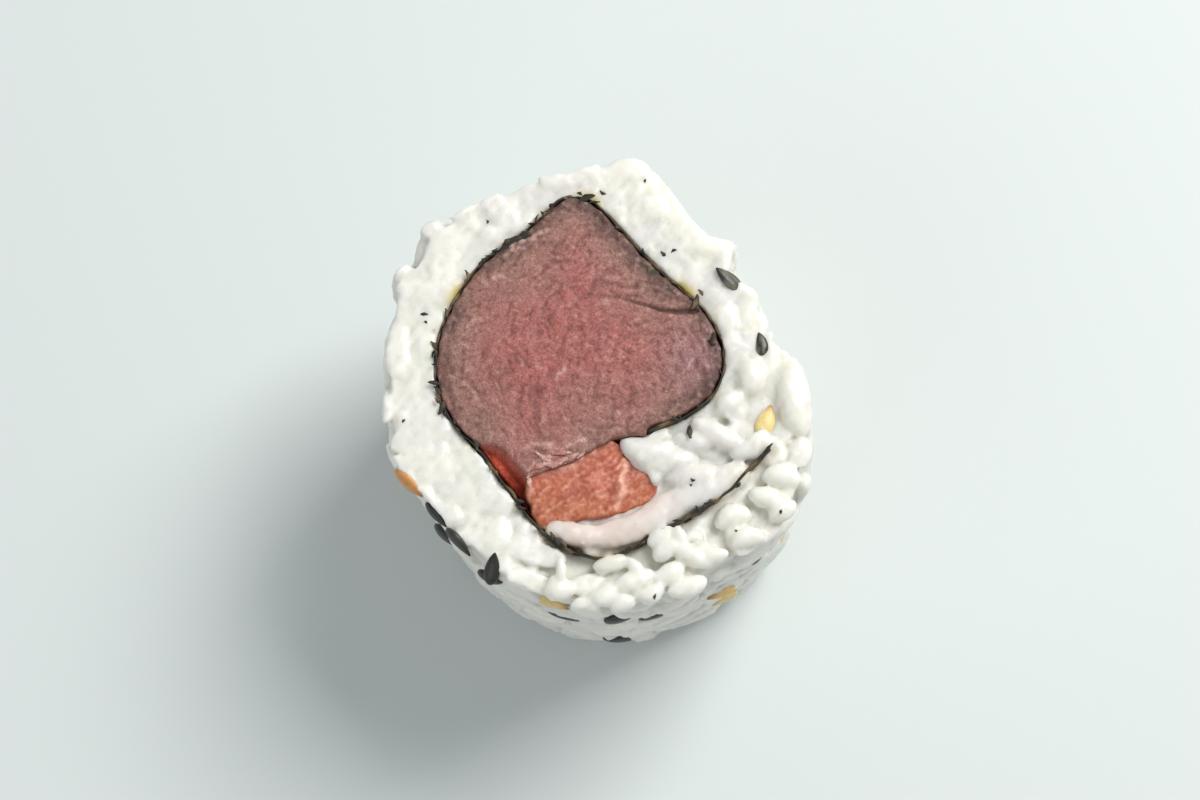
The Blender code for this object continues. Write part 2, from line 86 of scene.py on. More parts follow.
# The nori from its inner end round the tuna to the end of its tail, the seam between block and
# strip, and the edge of the pocket of rice, whose second point is where the seam ends.
NORI_LINE = (
    (4.9, -4.7), (6.6, -4.0), (8.7, -3.1), (10.5, -1.7), (11.7, 0.6), (11.7, 2.9), (10.9, 5.3),
    (9.1, 7.5), (6.6, 9.7), (4.2, 12.1), (2.1, 14.5), (0.0, 16.7), (-1.2, 17.3), (-2.4, 17.6),
    (-3.6, 17.0), (-4.4, 16.1), (-5.6, 15.0), (-7.4, 13.5), (-10.9, 10.7), (-13.6, 6.4),
    (-14.6, 2.9), (-14.4, -0.9), (-12.9, -4.0), (-10.6, -6.4), (-9.0, -8.5), (-7.4, -10.5),
    (-5.7, -12.8), (-3.9, -14.6), (-1.4, -15.9), (1.4, -16.3), (4.5, -15.0), (7.3, -13.4),
    (10.1, -11.8), (12.3, -10.2), (14.0, -8.3), (16.0, -6.4),
)
SEAM_LINE = ((-6.0, -12.0), (-6.2, -10.4), (-5.6, -8.7), (-2.6, -7.8), (-0.4, -6.5), (1.5, -5.4))
POCKET_LINE = (
    (4.5, -4.9), (2.6, -5.7), (2.9, -6.9), (4.4, -8.1), (6.0, -9.6), (4.9, -11.0), (1.8, -12.3),
    (-1.6, -12.8), (-3.2, -13.9),
)
SEAM_CORNER = 1
# The block's crown, and the torn hollow at its lower left.
TUNA_CREST = 0.3
TUNA_CREST_MIDDLE = (0, 3)
TUNA_CREST_REACH = (9, 11)
TUNA_HOLLOW_LINE = ((-9.6, -8.2), (-6.9, -11.2))
TUNA_HOLLOW_REACH = 2.3
TUNA_HOLLOW_DEPTH = 2.6
TUNA_HOLLOW_STEEP = 2.2
STRIP_DROP = 0.5

SEED_SIZE = (3.3, 1.9, 0.9)
SEED_SUNK = 0.12
SEED_DRAW = 5
# Seeds that the photograph shows. On the rim and the wall, with angles in degrees: direction,
# height, turn of the long axis, and how far it lies over from the wall towards the face.
RIM_SEEDS = (
    (209.5, 31.3, 16, 40), (221, 31.0, 6, 20), (225, 26.6, 25, 10), (230.7, 31.2, -8, 8),
    (242.3, 32.0, 100, 60), (242.9, 30.0, 30, 15), (38, 31.6, 34, 55), (259.5, 29.2, -12, 10),
    (263, 24.0, -22, 5), (277, 25.7, 34, 5), (287, 21.2, -25, 5), (278, 9.0, -40, 0),
)
# On the upper face: X, Y and turn of the long axis in degrees.
FACE_SEEDS = ((15.2, 3.4, 98), (15.6, -3.6, 70))
# The rest are spread round the wall, but not where the photograph shows it: two ranges of
# directions in degrees, and the height above which each is seen.
SPREAD_SEEDS = 48
SPREAD_HEIGHTS = (2.0, 25.5)
SPREAD_STRAY = 0.05
SEEN_WALL = ((195, 295, 10.0), (235, 300, 0.0))
SEED_SPACING = 3.4
# How far outside the roll a seed starts on its way in.
SEED_REACH = 5

# ---------------- curves and sections

KNOT_SHARES = 16


def catmull_rom(before, start, end, after, t):
    """A smooth curve from start, at t 0, to end, at t 1."""
    return 0.5 * (
        2 * start
        + (end - before) * t
        + (2 * before - 5 * start + 4 * end - after) * t**2
        + (3 * start - before - 3 * end + after) * t**3
    )


def lengths(rows):
    return np.linalg.norm(rows, axis=1)


def unit(rows):
    """Rows at length 1."""
    return rows / lengths(rows)[:, None]


def run_of(line):
    """How far along a line each of its points is."""
    return np.concatenate([[0], np.cumsum(lengths(np.diff(line, axis=0)))])


def points_at(line, at):
    """Places at these distances along a line."""
    return np.column_stack([np.interp(at, run_of(line), line[:, axis]) for axis in (0, 1)])


def smooth_line(points, step):
    """Points a step apart along a smooth open curve through the given ones."""
    knots = np.array(points, float)
    knots = np.vstack([2 * knots[0] - knots[1], knots, 2 * knots[-1] - knots[-2]])
    fine = [
        catmull_rom(*knots[i : i + 4], t)
        for i in range(len(knots) - 3)
        for t in np.linspace(0, 1, KNOT_SHARES, endpoint=False)
    ]
    fine = np.array(fine + [knots[-2]])
    length = run_of(fine)[-1]
    return points_at(fine, np.linspace(0, length, max(2, round(length / step)) + 1))


def sideways(line):
    """The direction to the left of a line at each of its points."""
    along = unit(np.gradient(line, axis=0))
    return np.column_stack([-along[:, 1], along[:, 0]])


def left_of(line, offset):
    """The line moved to its left."""
    return line + offset * sideways(line)


def grown(loop, offset):
    """A closed anticlockwise loop with each side moved outwards."""
    sides = unit(np.roll(loop, -1, axis=0) - loop)
    outward = np.column_stack([sides[:, 1], -sides[:, 0]])
    corner = outward + np.roll(outward, 1, axis=0)
    corner /= (corner * corner).sum(axis=1)[:, None] / 2
    return loop + offset * corner


def spaced(loop, count, rounds=3):
    """So many points at even steps round the loop, with its corners rounded a little."""
    ends = np.vstack([loop, loop[:1]])
    fine = points_at(ends, np.linspace(0, run_of(ends)[-1], count, endpoint=False))
    for _ in range(rounds):
        fine = (np.roll(fine, 1, axis=0) + 2 * fine + np.roll(fine, -1, axis=0)) / 4
    return fine


def closed_line(loop, step, rounds=3):
    """The loop in short steps."""
    length = lengths(np.roll(loop, -1, axis=0) - loop).sum()
    return spaced(loop, round(length / step), rounds)


def inside(points, loop):
    """Which of the points lie inside the closed loop."""
    x, y = points[:, 0], points[:, 1]
    found = np.zeros(len(points), bool)
    for (x0, y0), (x1, y1) in zip(loop, np.roll(loop, -1, axis=0)):
        if y0 != y1:
            crosses = (y0 > y) != (y1 > y)
            found ^= crosses & (x < x0 + (y - y0) * (x1 - x0) / (y1 - y0))
    return found


def between(points, loops):
    """Which of the points lie inside the first loop and outside the others."""
    found = inside(points, loops[0])
    for hole in loops[1:]:
        found &= ~inside(points, hole)
    return found


def distance_to(points, line, closed=True):
    """How far each of the points is from a line."""
    line = np.asarray(line, float)
    ends = np.roll(line, -1, axis=0) if closed else line[1:]
    starts = line if closed else line[:-1]
    nearest = np.full(len(points), np.inf)
    for start, end in zip(starts, ends):
        along = end - start
        share = np.clip(((points - start) @ along) / (along @ along), 0, 1)
        gap = points - start - share[:, None] * along
        nearest = np.minimum(nearest, (gap * gap).sum(axis=1))
    return np.sqrt(nearest)


def outline_radius(angles):
    """The roll's radius in each direction, on the upper face."""
    place = np.degrees(np.asarray(angles) % FULL_TURN) / OUTLINE_STEP_DEG
    first = np.floor(place).astype(int)
    radii = np.array(OUTLINE_RADII)
    near = [radii[(first + k) % len(radii)] for k in (-1, 0, 1, 2)]
    return catmull_rom(*near, place - first)


def rim_bumps(angles, z):
    """How far the rim's lumps stand out, and its notches in, in each direction at each height."""
    bumps = np.zeros(np.shape(angles))
    for middle_deg, half_deg, height in RIM_BUMPS:
        apart = (np.degrees(angles) - middle_deg + 180) % 360 - 180
        bumps += height * np.exp(-((RIM_BUMP_STEEP * apart / half_deg) ** 2))
    return bumps * np.interp(HEIGHT - np.asarray(z), RIM_BUMPS_FADE[::-1], (1.0, 0.0))


def wall_radius(angles, z):
    """How far the wall is from the axis."""
    share = np.interp(np.asarray(z) / HEIGHT, *zip(*WALL_PROFILE))
    return outline_radius(angles) * share + rim_bumps(angles, z)


def raised(points, z):
    """Points of the section at a height."""
    return np.column_stack([points, np.zeros(len(points)) + z])


def round_axis(radii, angles, z):
    """Points at these distances and directions from the axis, and at a height."""
    return np.column_stack([radii * np.cos(angles), radii * np.sin(angles), z + 0 * angles])


def twisted(points, way=1):
    """Points given in the upper face's section, turned and sized as at their own height.

    For way -1, points of the roll taken back to the section.
    """
    down = points[:, 2] / HEIGHT - 1
    angle = way * math.radians(TWIST_DEG) * down
    size = (1 + FOOT_TAPER * down) ** way
    cos, sin = size * np.cos(angle), size * np.sin(angle)
    x, y = points[:, 0], points[:, 1]
    return np.column_stack([x * cos - y * sin, x * sin + y * cos, points[:, 2]])


def nearest_index(line, point):
    """Which of the line's points is nearest."""
    return int(lengths(line - np.array(point)).argmin())


def sections():
    """The loops of the solids that fill the roll, and of the hole in the rice round them."""
    middle = smooth_line(NORI_LINE, SECTION_STEP)
    half = (NORI_THICKNESS + GAP) / 2
    inner, outer = left_of(middle, half), left_of(middle, -half)
    seam = smooth_line(SEAM_LINE, SECTION_STEP)
    pocket = smooth_line(POCKET_LINE, SECTION_STEP * 0.8)
    foot = nearest_index(inner, SEAM_LINE[0])
    tongue = nearest_index(inner, POCKET_LINE[-1])
    tip = nearest_index(pocket, POCKET_LINE[SEAM_CORNER])
    end = middle[-1] + (middle[-1] - middle[-2]) / SECTION_STEP * GAP
    return {
        "middle": middle,
        "tuna": np.vstack([inner[: foot + 1], seam[1:], pocket[tip - 1 :: -1]]),
        "tuna_strip": np.vstack([inner[foot + 1 : tongue + 1], pocket[:tip:-1], seam[:0:-1]]),
        "hole": np.vstack([outer, end[None], inner[:tongue:-1], pocket[::-1]]),
    }


LOOPS = sections()


def nori_middle():
    """Where the middle of the nori's box is, in the section's millimetres."""
    half = NORI_THICKNESS / 2
    band = np.vstack([left_of(LOOPS["middle"], side) for side in (-half, half)])
    heights = (NORI_FOOT, (NORI_FOOT + HEIGHT) / 2, HEIGHT)
    corners = twisted(np.vstack([raised(band, z) for z in heights]))
    return (corners.min(axis=0) + corners.max(axis=0)) / 2


NORI_BOX = np.array([list(corner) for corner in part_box("nori")]) / MM
TO_ROW = (NORI_BOX.mean(axis=0) - nori_middle()) * (1, 1, 0)


def to_row(points):
    """The section's millimetres in the frame's metres."""
    return (np.asarray(points) + TO_ROW) * MM


# ---------------- uneven surfaces

# Waves added up in each octave, and what brings the sum of the octaves to about 1.
OCTAVE_WAVES = 6
WAVES_SUM = 3.5
# How far apart the layers of fine noise lie, and what brings it to about 1.
NOISE_LAYER = 7.3
NOISE_GAIN = 1.6


def waves(points, length, seed, octaves=3):
    """Smooth unevenness between about -1 and 1, with waves of about the length."""
    draw = np.random.default_rng(seed)
    total = np.zeros(len(points))
    for octave in range(octaves):
        for _ in range(OCTAVE_WAVES):
            way = draw.normal(size=points.shape[1])
            way *= FULL_TURN * 2**octave / length / np.linalg.norm(way)
            total += 0.5**octave * np.sin(points @ way + draw.uniform(0, FULL_TURN))
    return total / WAVES_SUM


def grainy(points, length, layer):
    """Fine unevenness between about -1 and 1, without direction."""
    spots = raised(points[:, :2] / length, layer * NOISE_LAYER)
    return np.array([noise.noise(Vector(spot)) for spot in spots]) * NOISE_GAIN


def soft_limit(values, limit, soft):
    """Values kept under a limit, rounded over where they meet it."""
    return limit - soft * np.logaddexp(0, (limit - values) / soft)


def fading(distances, reach):
    """1 at no distance, falling smoothly to 0 at the reach."""
    share = np.clip(1 - distances / reach, 0, 1)
    return share * share * (3 - 2 * share)


def near_line(points, line, reach):
    """1 on an open line, falling smoothly to 0 at the reach."""
    return fading(distance_to(points, line, closed=False), reach)


def rising(values, start, end):
    """0 at the start, rising evenly to 1 at the end."""
    return np.clip((values - start) / (end - start), 0, 1)


# ---------------- meshes from arrays


def mesh_of(name, points, faces):
    """A mesh of points and faces."""
    data = bpy.data.meshes.new(name)
    data.from_pydata(points, [], faces)
    return data


def read_vectors(items, name):
    values = np.empty(len(items) * 3, np.float32)
    items.foreach_get(name, values)
    return values.reshape(-1, 3).astype(float)


def write_points(data, points):
    data.vertices.foreach_set("co", points.astype(np.float32).ravel())
    data.update()


def linear(colour):
    """An sRGB colour of 0 to 255 as linear light."""
    share = np.asarray(colour, float) / 255
    return np.where(share <= 0.04045, share / 12.92, ((share + 0.055) / 1.055) ** 2.4)


def layered(base, *layers):
    """Rows of a base colour, with others laid over it in turn, each by a strength and by shares."""
    colours = linear(base)[None]
    for colour, strength, shares in layers:
        shares = strength * np.clip(shares, 0, 1)[:, None]
        colours = colours * (1 - shares) + linear(colour) * shares
    return colours


def new_object(name, data):
    """An object in the scene."""
    made = bpy.data.objects.new(name, data)
    bpy.context.scene.collection.objects.link(made)
    return made


def add_piece(data, colours, slot, replaced=None, **finish):
    """A piece of the model, taken from millimetres to the frame's metres, riding on the body."""
    write_points(data, to_row(read_vectors(data.vertices, "co")))
    data.shade_smooth()
    base = data.color_attributes.new("base", "FLOAT_COLOR", "POINT")
    rows = np.column_stack([np.clip(colours, 0, 1), np.ones(len(colours))])
    base.data.foreach_set("color", rows.astype(np.float32).ravel())
    data.materials.clear()
    data.materials.append(food_material(slot, **finish))
    piece = new_object(data.name, data)
    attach(piece, "root")
    if replaced:
        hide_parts(replaced)


def modified(data, kind, **settings):
    """The mesh after a modifier with these settings."""
    name = data.name
    work = new_object("work", data)
    modifier = work.modifiers.new(kind.lower(), kind)
    for key, value in settings.items():
        setattr(modifier, key, value)
    bpy.context.view_layer.update()
    graph = bpy.context.evaluated_depsgraph_get()
    made = bpy.data.meshes.new_from_object(work.evaluated_get(graph))
    bpy.data.objects.remove(work)
    bpy.data.meshes.remove(data)
    made.name = name
    return made


def smoothed(data, rounds):
    """The mesh, with its points moved half way to their neighbours' middles in each round."""
    return modified(data, "SMOOTH", factor=0.5, iterations=rounds)


def largest_part(data):
    """The mesh without its smaller loose parts."""
    edges = read_edges(data)
    label = np.arange(len(data.vertices))
    before = label + 1
    while (label != before).any():
        before = label.copy()
        low = label[edges].min(axis=1)
        np.minimum.at(label, edges.ravel(), np.repeat(low, 2))
        label = label[label]
    values, counts = np.unique(label, return_counts=True)
    loose = np.flatnonzero(label != values[counts.argmax()])
    mesh = bmesh.new()
    mesh.from_mesh(data)
    mesh.verts.ensure_lookup_table()
    bmesh.ops.delete(mesh, geom=[mesh.verts[i] for i in loose], context="VERTS")
    mesh.to_mesh(data)
    mesh.free()
    return data


def summed(owners, rows, count):
    """For each owner, the sum of its rows."""
    return np.column_stack([np.bincount(owners, rows[:, axis], count) for axis in range(3)])


def neighbour_means(points, edges):
    """The mean of each point's neighbours along the edges."""
    near, far, count = edges[:, 0], edges[:, 1], len(points)
    total = summed(near, points[far], count) + summed(far, points[near], count)
    return total / np.maximum(1, np.bincount(edges.ravel(), minlength=count))[:, None]


def read_edges(data):
    edges = np.empty(len(data.edges) * 2, np.int32)
    data.edges.foreach_get("vertices", edges)
    return edges.reshape(-1, 2)


def fill_valleys(data, steps, share_of):
    """Raises the bottoms of narrow valleys, by a share for each place, and leaves the crests."""
    edges = read_edges(data)
    points = read_vectors(data.vertices, "co")
    share = share_of(points)
    for step in range(steps):
        if step % FILL_ROUND == 0:
            write_points(data, points)
            normals = read_vectors(data.vertices, "normal")
        move = neighbour_means(points, edges) - points
        rise = (move * normals).sum(axis=1)
        points += move * (share * (rise > 0))[:, None]
    write_points(data, points)


def loose_points(loops, step):
    """Points on a triangular grid inside the first loop and outside the rest, clear of them all."""
    low, high = loops[0].min(axis=0), loops[0].max(axis=0)
    rows = np.arange(low[1], high[1], step * math.sqrt(3) / 2)
    columns = np.arange(low[0], high[0], step)
    x = columns[None] + (np.arange(len(rows)) % 2)[:, None] * step / 2
    grid = np.column_stack([x.ravel(), np.repeat(rows, len(columns))])
    grid = grid[between(grid, loops)]
    nearest = np.min([distance_to(grid, loop) for loop in loops], axis=0)
    return grid[nearest > step / 2]


def band(low, high):
    """Triangles between two rings of as many points each."""
    next_low, next_high = np.roll(low, -1), np.roll(high, -1)
    return [np.column_stack([low, next_low, next_high]), np.column_stack([low, next_high, high])]


def combined(points, faces, more_points, more_faces):
    """The points and faces of two meshes as one."""
    return np.vstack([points, more_points]), np.vstack([faces, more_faces + len(points)])


def standing_solid(walls, cap_steps):
    """Points and triangles of a closed solid between two cut faces.

    Each wall is rings of as many points each, from the lower face to the upper. cap_steps are the
    spacings of loose points in the lower and the upper face. Also returns the upper face's points.
    """
    points, faces, ends = [], [], ([], [])
    count = 0
    for wall in walls:
        size = len(wall[0])
        ring_of = [count + level * size + np.arange(size) for level in range(len(wall))]
        for low, high in zip(ring_of, ring_of[1:]):
            faces += band(low, high)
        ends[0].append(ring_of[0])
        ends[1].append(ring_of[-1])
        points += list(wall)
        count += size * len(wall)
    points = np.vstack(points)
    for rings, step, upward in zip(ends, cap_steps, (False, True)):
        loops = [points[ring, :2] for ring in rings]
        loose = loose_points(loops, step)
        index = np.concatenate([*rings, np.arange(len(points), len(points) + len(loose))])
        points = np.vstack([points, raised(loose, points[rings[0], 2].mean())])
        faces.append(flat_faces(points[:, :2], index, loops, upward))
    return points, np.vstack(faces), index


def flat_faces(points, index, loops, upward):
    """Triangles over the flat ring between loops, through all the indexed points."""
    edges, first = [], 0
    for loop in loops:
        size = len(loop)
        edges += [(first + i, first + (i + 1) % size) for i in range(size)]
        first += size
    flat = [Vector(point) for point in points[index]]
    _, _, triangles, sources, _, _ = geometry.delaunay_2d_cdt(flat, edges, [], 0, 1e-7)
    order = np.array([source[0] for source in sources])
    triangles = index[order[np.array(triangles)]]
    triangles = triangles[between(points[triangles].mean(axis=1), loops)]
    a, b, c = (points[triangles[:, corner]] for corner in range(3))
    turn = (b - a)[:, 0] * (c - a)[:, 1] - (b - a)[:, 1] * (c - a)[:, 0]
    wrong = (turn < 0) == upward
    triangles[wrong] = triangles[wrong][:, ::-1]
    return triangles


# ---------------- materials

COAT_ROUGHNESS = 0.25
# Mottling: the noise's detail, the range of it that counts, and how much of its depth goes lighter.
MOTTLE_DETAIL = 4.0
MOTTLE_RANGE = (0.3, 0.7)
MOTTLE_LIGHT = 0.6
BUMP_DETAIL = 2.0


def add_node(tree, kind, inputs=(), **settings):
    """A shader node with its settings and inputs, each a value or another node's socket."""
    made = tree.nodes.new(kind)
    for key, value in settings.items():
        setattr(made, key, value)
    for key, value in dict(inputs).items():
        if isinstance(value, bpy.types.NodeSocket):
            tree.links.new(value, made.inputs[key])
        else:
            made.inputs[key].default_value = value
    return made


def noise_of(tree, place, length, detail):
    """Noise with spots of a length in millimetres."""
    inputs = {"Vector": place, "Scale": 1 / (length * MM), "Detail": detail}
    return add_node(tree, "ShaderNodeTexNoise", inputs).outputs["Fac"]


def new_material(name, settings):
    """A material with its shader's settings."""
    material = bpy.data.materials.new(name)
    material.use_nodes = True
    shader = material.node_tree.nodes["Principled BSDF"]
    for key, value in settings.items():
        shader.inputs[key].default_value = value
    return material


def food_material(name, roughness, mottle, bump, scatter=0.0, radius=(1, 1, 1), coat=0.0):
    """A material over its mesh's own base colours.

    Mottle is the length and the depth of a change in brightness, and bump the length and the height
    of fine relief. Radius is how far light runs under the surface. Lengths are in millimetres.
    """
    settings = {
        "Roughness": roughness, "Subsurface Weight": scatter, "Subsurface Radius": radius,
        "Subsurface Scale": MM, "Coat Weight": coat, "Coat Roughness": COAT_ROUGHNESS,
    }
    material = new_material(name, settings)
    tree = material.node_tree
    shader = tree.nodes["Principled BSDF"]
    base = add_node(tree, "ShaderNodeAttribute", attribute_name="base").outputs["Color"]
    place = add_node(tree, "ShaderNodeTexCoord").outputs["Object"]
    length, depth = mottle
    spots = noise_of(tree, place, length, MOTTLE_DETAIL)
    low, high = MOTTLE_RANGE
    inputs = {"Value": spots, 1: low, 2: high, 3: 1 - depth, 4: 1 + depth * MOTTLE_LIGHT}
    inputs = {0: base, 1: add_node(tree, "ShaderNodeMapRange", inputs).outputs[0]}
    base = add_node(tree, "ShaderNodeVectorMath", inputs, operation="MULTIPLY").outputs[0]
    tree.links.new(base, shader.inputs["Base Color"])
    length, height = bump
    relief = noise_of(tree, place, length, BUMP_DETAIL)
    inputs = {"Height": relief, "Distance": height * MM, "Strength": 1.0}
    normal = add_node(tree, "ShaderNodeBump", inputs).outputs["Normal"]
    tree.links.new(normal, shader.inputs["Normal"])
    return material


# ---------------- the rice

GRAIN_COUNT = 860
GRAIN_HALF_SPAN = 1.9
GRAIN_RADIUS = 1.15
GRAIN_WIDE = 1.12
GRAIN_THIN = 0.96
SPAN_SPREAD = (0.82, 1.12)
RADIUS_SPREAD = (0.93, 1.07)
# How far grains bend, and how far their flat sides turn from the way they face.
GRAIN_BEND = 0.2
GRAIN_LEAN = 0.35
# Forms: rings, points in each, and bluntness.
GRAIN_FORM = (9, 14, 2.5)
POINTED_FORM = (9, 14, 2.0)
GRAIN_DRAW = 23
# Where grains start: the draw, places tried for each, and how deep one lies, in grain radii.
START_DRAW = 11
START_TRIES = 6
START_ROOM = 0.6
SETTLE_STEPS = 80
NEIGHBOUR_STEPS = 8
# The share of their overlap by which two grains part in a step, how close they may come, as a
# share of their radii, and how much of a radius the wall may press in.
PART_SHARE = 0.35
PRESS = 0.88
WALL_PRESS = 0.6
# How fast grains close to the wall turn to lie along it, and how close that is.
WALL_TURN = 0.12
WALL_TURN_DEPTH = 2.4
# How far the balls' middles stay from the cut faces, and how deep a grain can lie and still show.
CUT_DEPTH = 0.35
VISIBLE_DEPTH = 3.2
# The core: heights of its rings, how far under the wall and the loose rice it stays, and how thin
# it may get.
CORE_LEVELS = (1.0, 4.0, 16.0, 28.0, HEIGHT - 0.4)
CORE_INSET = 0.85
CORE_DROP = 0.85
THINNEST = 0.4
# How far apart the core's loose points lie in the lower and in the upper face.
CORE_STEPS = (3.0, 1.2)
# How far grains stay under the wall or stand out past it.
LEVELS = (-0.3, 0.1)
# How deep under the wall the rim's lumps and notches move the grains.
RIM_BUMP_DEPTH = 4.0
# Waves of the wall: height, length, and the radius that they are worked out for.
WALL_WAVES = (0.3, 9, 20)
# How softly grains flatten against the wall and against the cut faces.
WALL_SOFT = 0.16
CUT_SOFT = 0.1
# How far the rice reaches over the hole's edge, towards the nori.
RICE_REACH = 0.2
VOXEL = 0.17
# Filling the valleys between grains: steps, how many of them use the same normals, how fast they
# fill on the wall and at the cut, and how much slower where the rice came loose.
FILL_STEPS = 36
FILL_ROUND = 6
WALL_FILL = 0.22
CUT_FILL = 0.5
LOOSE_UNFILLED = 0.88
# Fine relief of the rice: height, length and draw of its waves.
RICE_RELIEF = ((0.05, 1.8, 33), (0.035, 0.9, 35))
RICE_TRIANGLES = 190000

# Grains laid where the wall is still bare: how many places are tried, between which heights, how
# deep under the wall a grain still shows, how far the nearest one has to be, half sizes and how far
# they vary, how far in a grain lies, and how far its flat side turns from the wall.
PATCH_DRAW = 29
PATCH_TRIES = 1500
PATCH_HEIGHTS = (0.8, 28.5)
PATCH_DEPTH = 0.5
PATCH_CLEAR = 1.1
PATCH_HALVES = (2.8, 1.2, 1.0)
PATCH_SPREAD = (0.88, 1.08)
PATCH_SUNK = (-0.1, 0.2)
PATCH_LEAN = 0.2

# How far the grains that stand out on the upper face slope and bend.
FACE_SLOPE = 0.5
FACE_BEND = 0.25
# Those grains: X and Y of both ends, how high they lie, how clear they are, and radius.
FACE_GRAINS = (
    (2.3, -6.2, 7.8, -6.5, 0.5, 0.7, 1.3), (3.2, -7.2, 9.6, -7.5, 0.35, 0.75, 1.35),
    (6.3, -8.9, 12.2, -8.8, 0.15, 0.75, 1.2), (8.8, -3.7, 13.6, -6.2, 0.45, 0.6, 1.05),
    (7.2, -5.3, 10.9, -5.9, 0.3, 0.75, 0.85), (12.4, -7.0, 16.6, -5.4, 0.15, 0.7, 0.85),
    (14.0, 2.4, 14.5, -1.4, 0.4, 0.3, 1.3), (11.0, -2.8, 13.6, -1.3, 0.25, 0.4, 1.1),
    (17.8, 1.8, 18.8, -5.2, 0.5, 0.1, 1.4), (14.0, -10.3, 17.4, -11.5, 0.35, 0.1, 0.9),
    (15.2, -8.7, 18.8, -9.2, 0.45, 0.1, 1.0), (15.9, -12.7, 18.3, -11.3, 0.3, 0.2, 0.9),
    (12.3, -15.1, 15.4, -14.1, 0.35, 0.2, 0.9), (10.9, -13.2, 14.2, -12.0, 0.35, 0.25, 1.0),
    (14.2, -7.3, 15.6, -4.6, 0.3, 0.3, 0.8), (-2.9, -16.3, -2.6, -18.9, 0.6, 0.2, 0.45),
    (-4.5, -19.5, -1.5, -19.1, 0.45, 0.2, 0.95), (-3.9, -18.2, -2.2, -20.3, 0.35, 0.3, 0.75),
    (0.0, -17.3, 3.3, -16.5, 0.3, 0.3, 0.75), (2.0, -19.1, 5.7, -17.8, 0.55, 0.2, 0.9),
    (-0.2, -20.5, 2.9, -18.9, 0.4, 0.2, 0.9), (3.7, -20.0, 6.6, -18.9, 0.5, 0.25, 0.85),
    (1.6, -21.0, 4.0, -20.2, 0.2, 0.4, 0.75), (3.1, -16.4, 4.5, -18.4, 0.45, 0.4, 0.6),
    (4.9, -15.3, 7.3, -13.7, 0.5, 0.3, 0.7), (5.4, -16.6, 8.0, -14.7, 0.6, 0.2, 0.85),
    (7.1, -15.4, 11.0, -17.0, 0.65, 0.2, 0.9), (9.1, -15.1, 12.2, -16.4, 0.5, 0.25, 0.75),
    (5.4, -18.7, 8.3, -17.1, 0.5, 0.2, 0.85), (6.8, -19.7, 10.4, -18.3, 0.35, 0.3, 0.85),
    (7.5, -13.5, 8.3, -15.6, 0.6, 0.3, 0.55),
)
# The pocket's tongue of pressed rice, that runs along the nori: its middle line and half widths.
TONGUE_LINE = (
    (-2.9, -13.9), (-0.2, -14.4), (3.2, -13.8), (6.5, -11.9), (9.6, -10.3), (12.2, -9.0),
)
TONGUE_HALF_WIDTHS = (0.95, 1.3, 1.45)
TONGUE_THICK = 0.8
TONGUE_OVERLAP = 1.6
# How clear the rice is: up to this much along the wall, and this much on the tongue.
CLEAR_MOST = 0.7
CLEAR_TONGUE = 0.75
# How low the cut rice lies and how high its waves are: where it was pressed flat, and how much
# more where it came loose.
FACE_LOW = (0.15, 0.45)
FACE_WAVES = (0.1, 0.3)
FACE_WAVE_LENGTH = 7.0
# Where the cut rice came loose: past a slanting line at the lower right, and round the pocket.
LOOSE_FROM = 2
LOOSE_OVER = 12
LOOSE_LEFT = (-8.5, -4.0)
POCKET_MIDDLE = (6.5, -6.8)
POCKET_RADIUS = 3
POCKET_FADE = 4
POCKET_LOOSE = 0.9


def looseness(points):
    """0 where the knife pressed the cut rice flat, and 1 where its grains came loose."""
    past = points[:, 0] * 0.5 - points[:, 1] - LOOSE_FROM
    lower_right = fading(LOOSE_OVER - past, LOOSE_OVER) * rising(points[:, 0], *LOOSE_LEFT)
    beyond = lengths(points[:, :2] - POCKET_MIDDLE) - POCKET_RADIUS
    return np.maximum(lower_right, POCKET_LOOSE * fading(beyond, POCKET_FADE))


def face_height(points):
    """How high the cut rice reaches at each place."""
    loose = looseness(points)
    height = HEIGHT - FACE_LOW[0] - FACE_LOW[1] * loose
    uneven = FACE_WAVES[0] + FACE_WAVES[1] * loose
    return height + uneven * waves(points[:, :2], FACE_WAVE_LENGTH, 3)


class RiceSection:
    """How deep each place of the section lies inside the outline and outside the hole."""

    STEP = 0.25
    REACH = 25.0

    def __init__(self):
        angles = np.arange(0, FULL_TURN, math.radians(2))
        outline = round_axis(outline_radius(angles), angles, 0)[:, :2]
        hole = closed_line(LOOPS["hole"], 0.5)
        ticks = np.arange(-self.REACH, self.REACH + self.STEP / 2, self.STEP)
        places = np.array(np.meshgrid(ticks, ticks, indexing="ij")).reshape(2, -1).T
        self.last = len(ticks) - 2
        self.fields = {}
        for name, loop, sign in (("outline", outline, 1), ("hole", hole, -1)):
            depth = distance_to(places, loop) * np.where(inside(places, loop), sign, -sign)
            grid = depth.reshape(len(ticks), len(ticks))
            self.fields[name] = np.stack([grid, *np.gradient(grid, self.STEP)])

    def depth(self, wall, points):
        """How deep each point lies past one wall, and the direction away from the wall."""
        place = (np.clip(points[:, :2], -self.REACH, self.REACH) + self.REACH) / self.STEP
        low = np.minimum(place.astype(int), self.last)
        share = place - low
        total = 0
        for i in (0, 1):
            for j in (0, 1):
                weight = np.abs(1 - i - share[:, 0]) * np.abs(1 - j - share[:, 1])
                total = total + weight * self.fields[wall][:, low[:, 0] + i, low[:, 1] + j]
        away = total[1:].T
        return total[0], away / np.maximum(1e-6, lengths(away))[:, None]


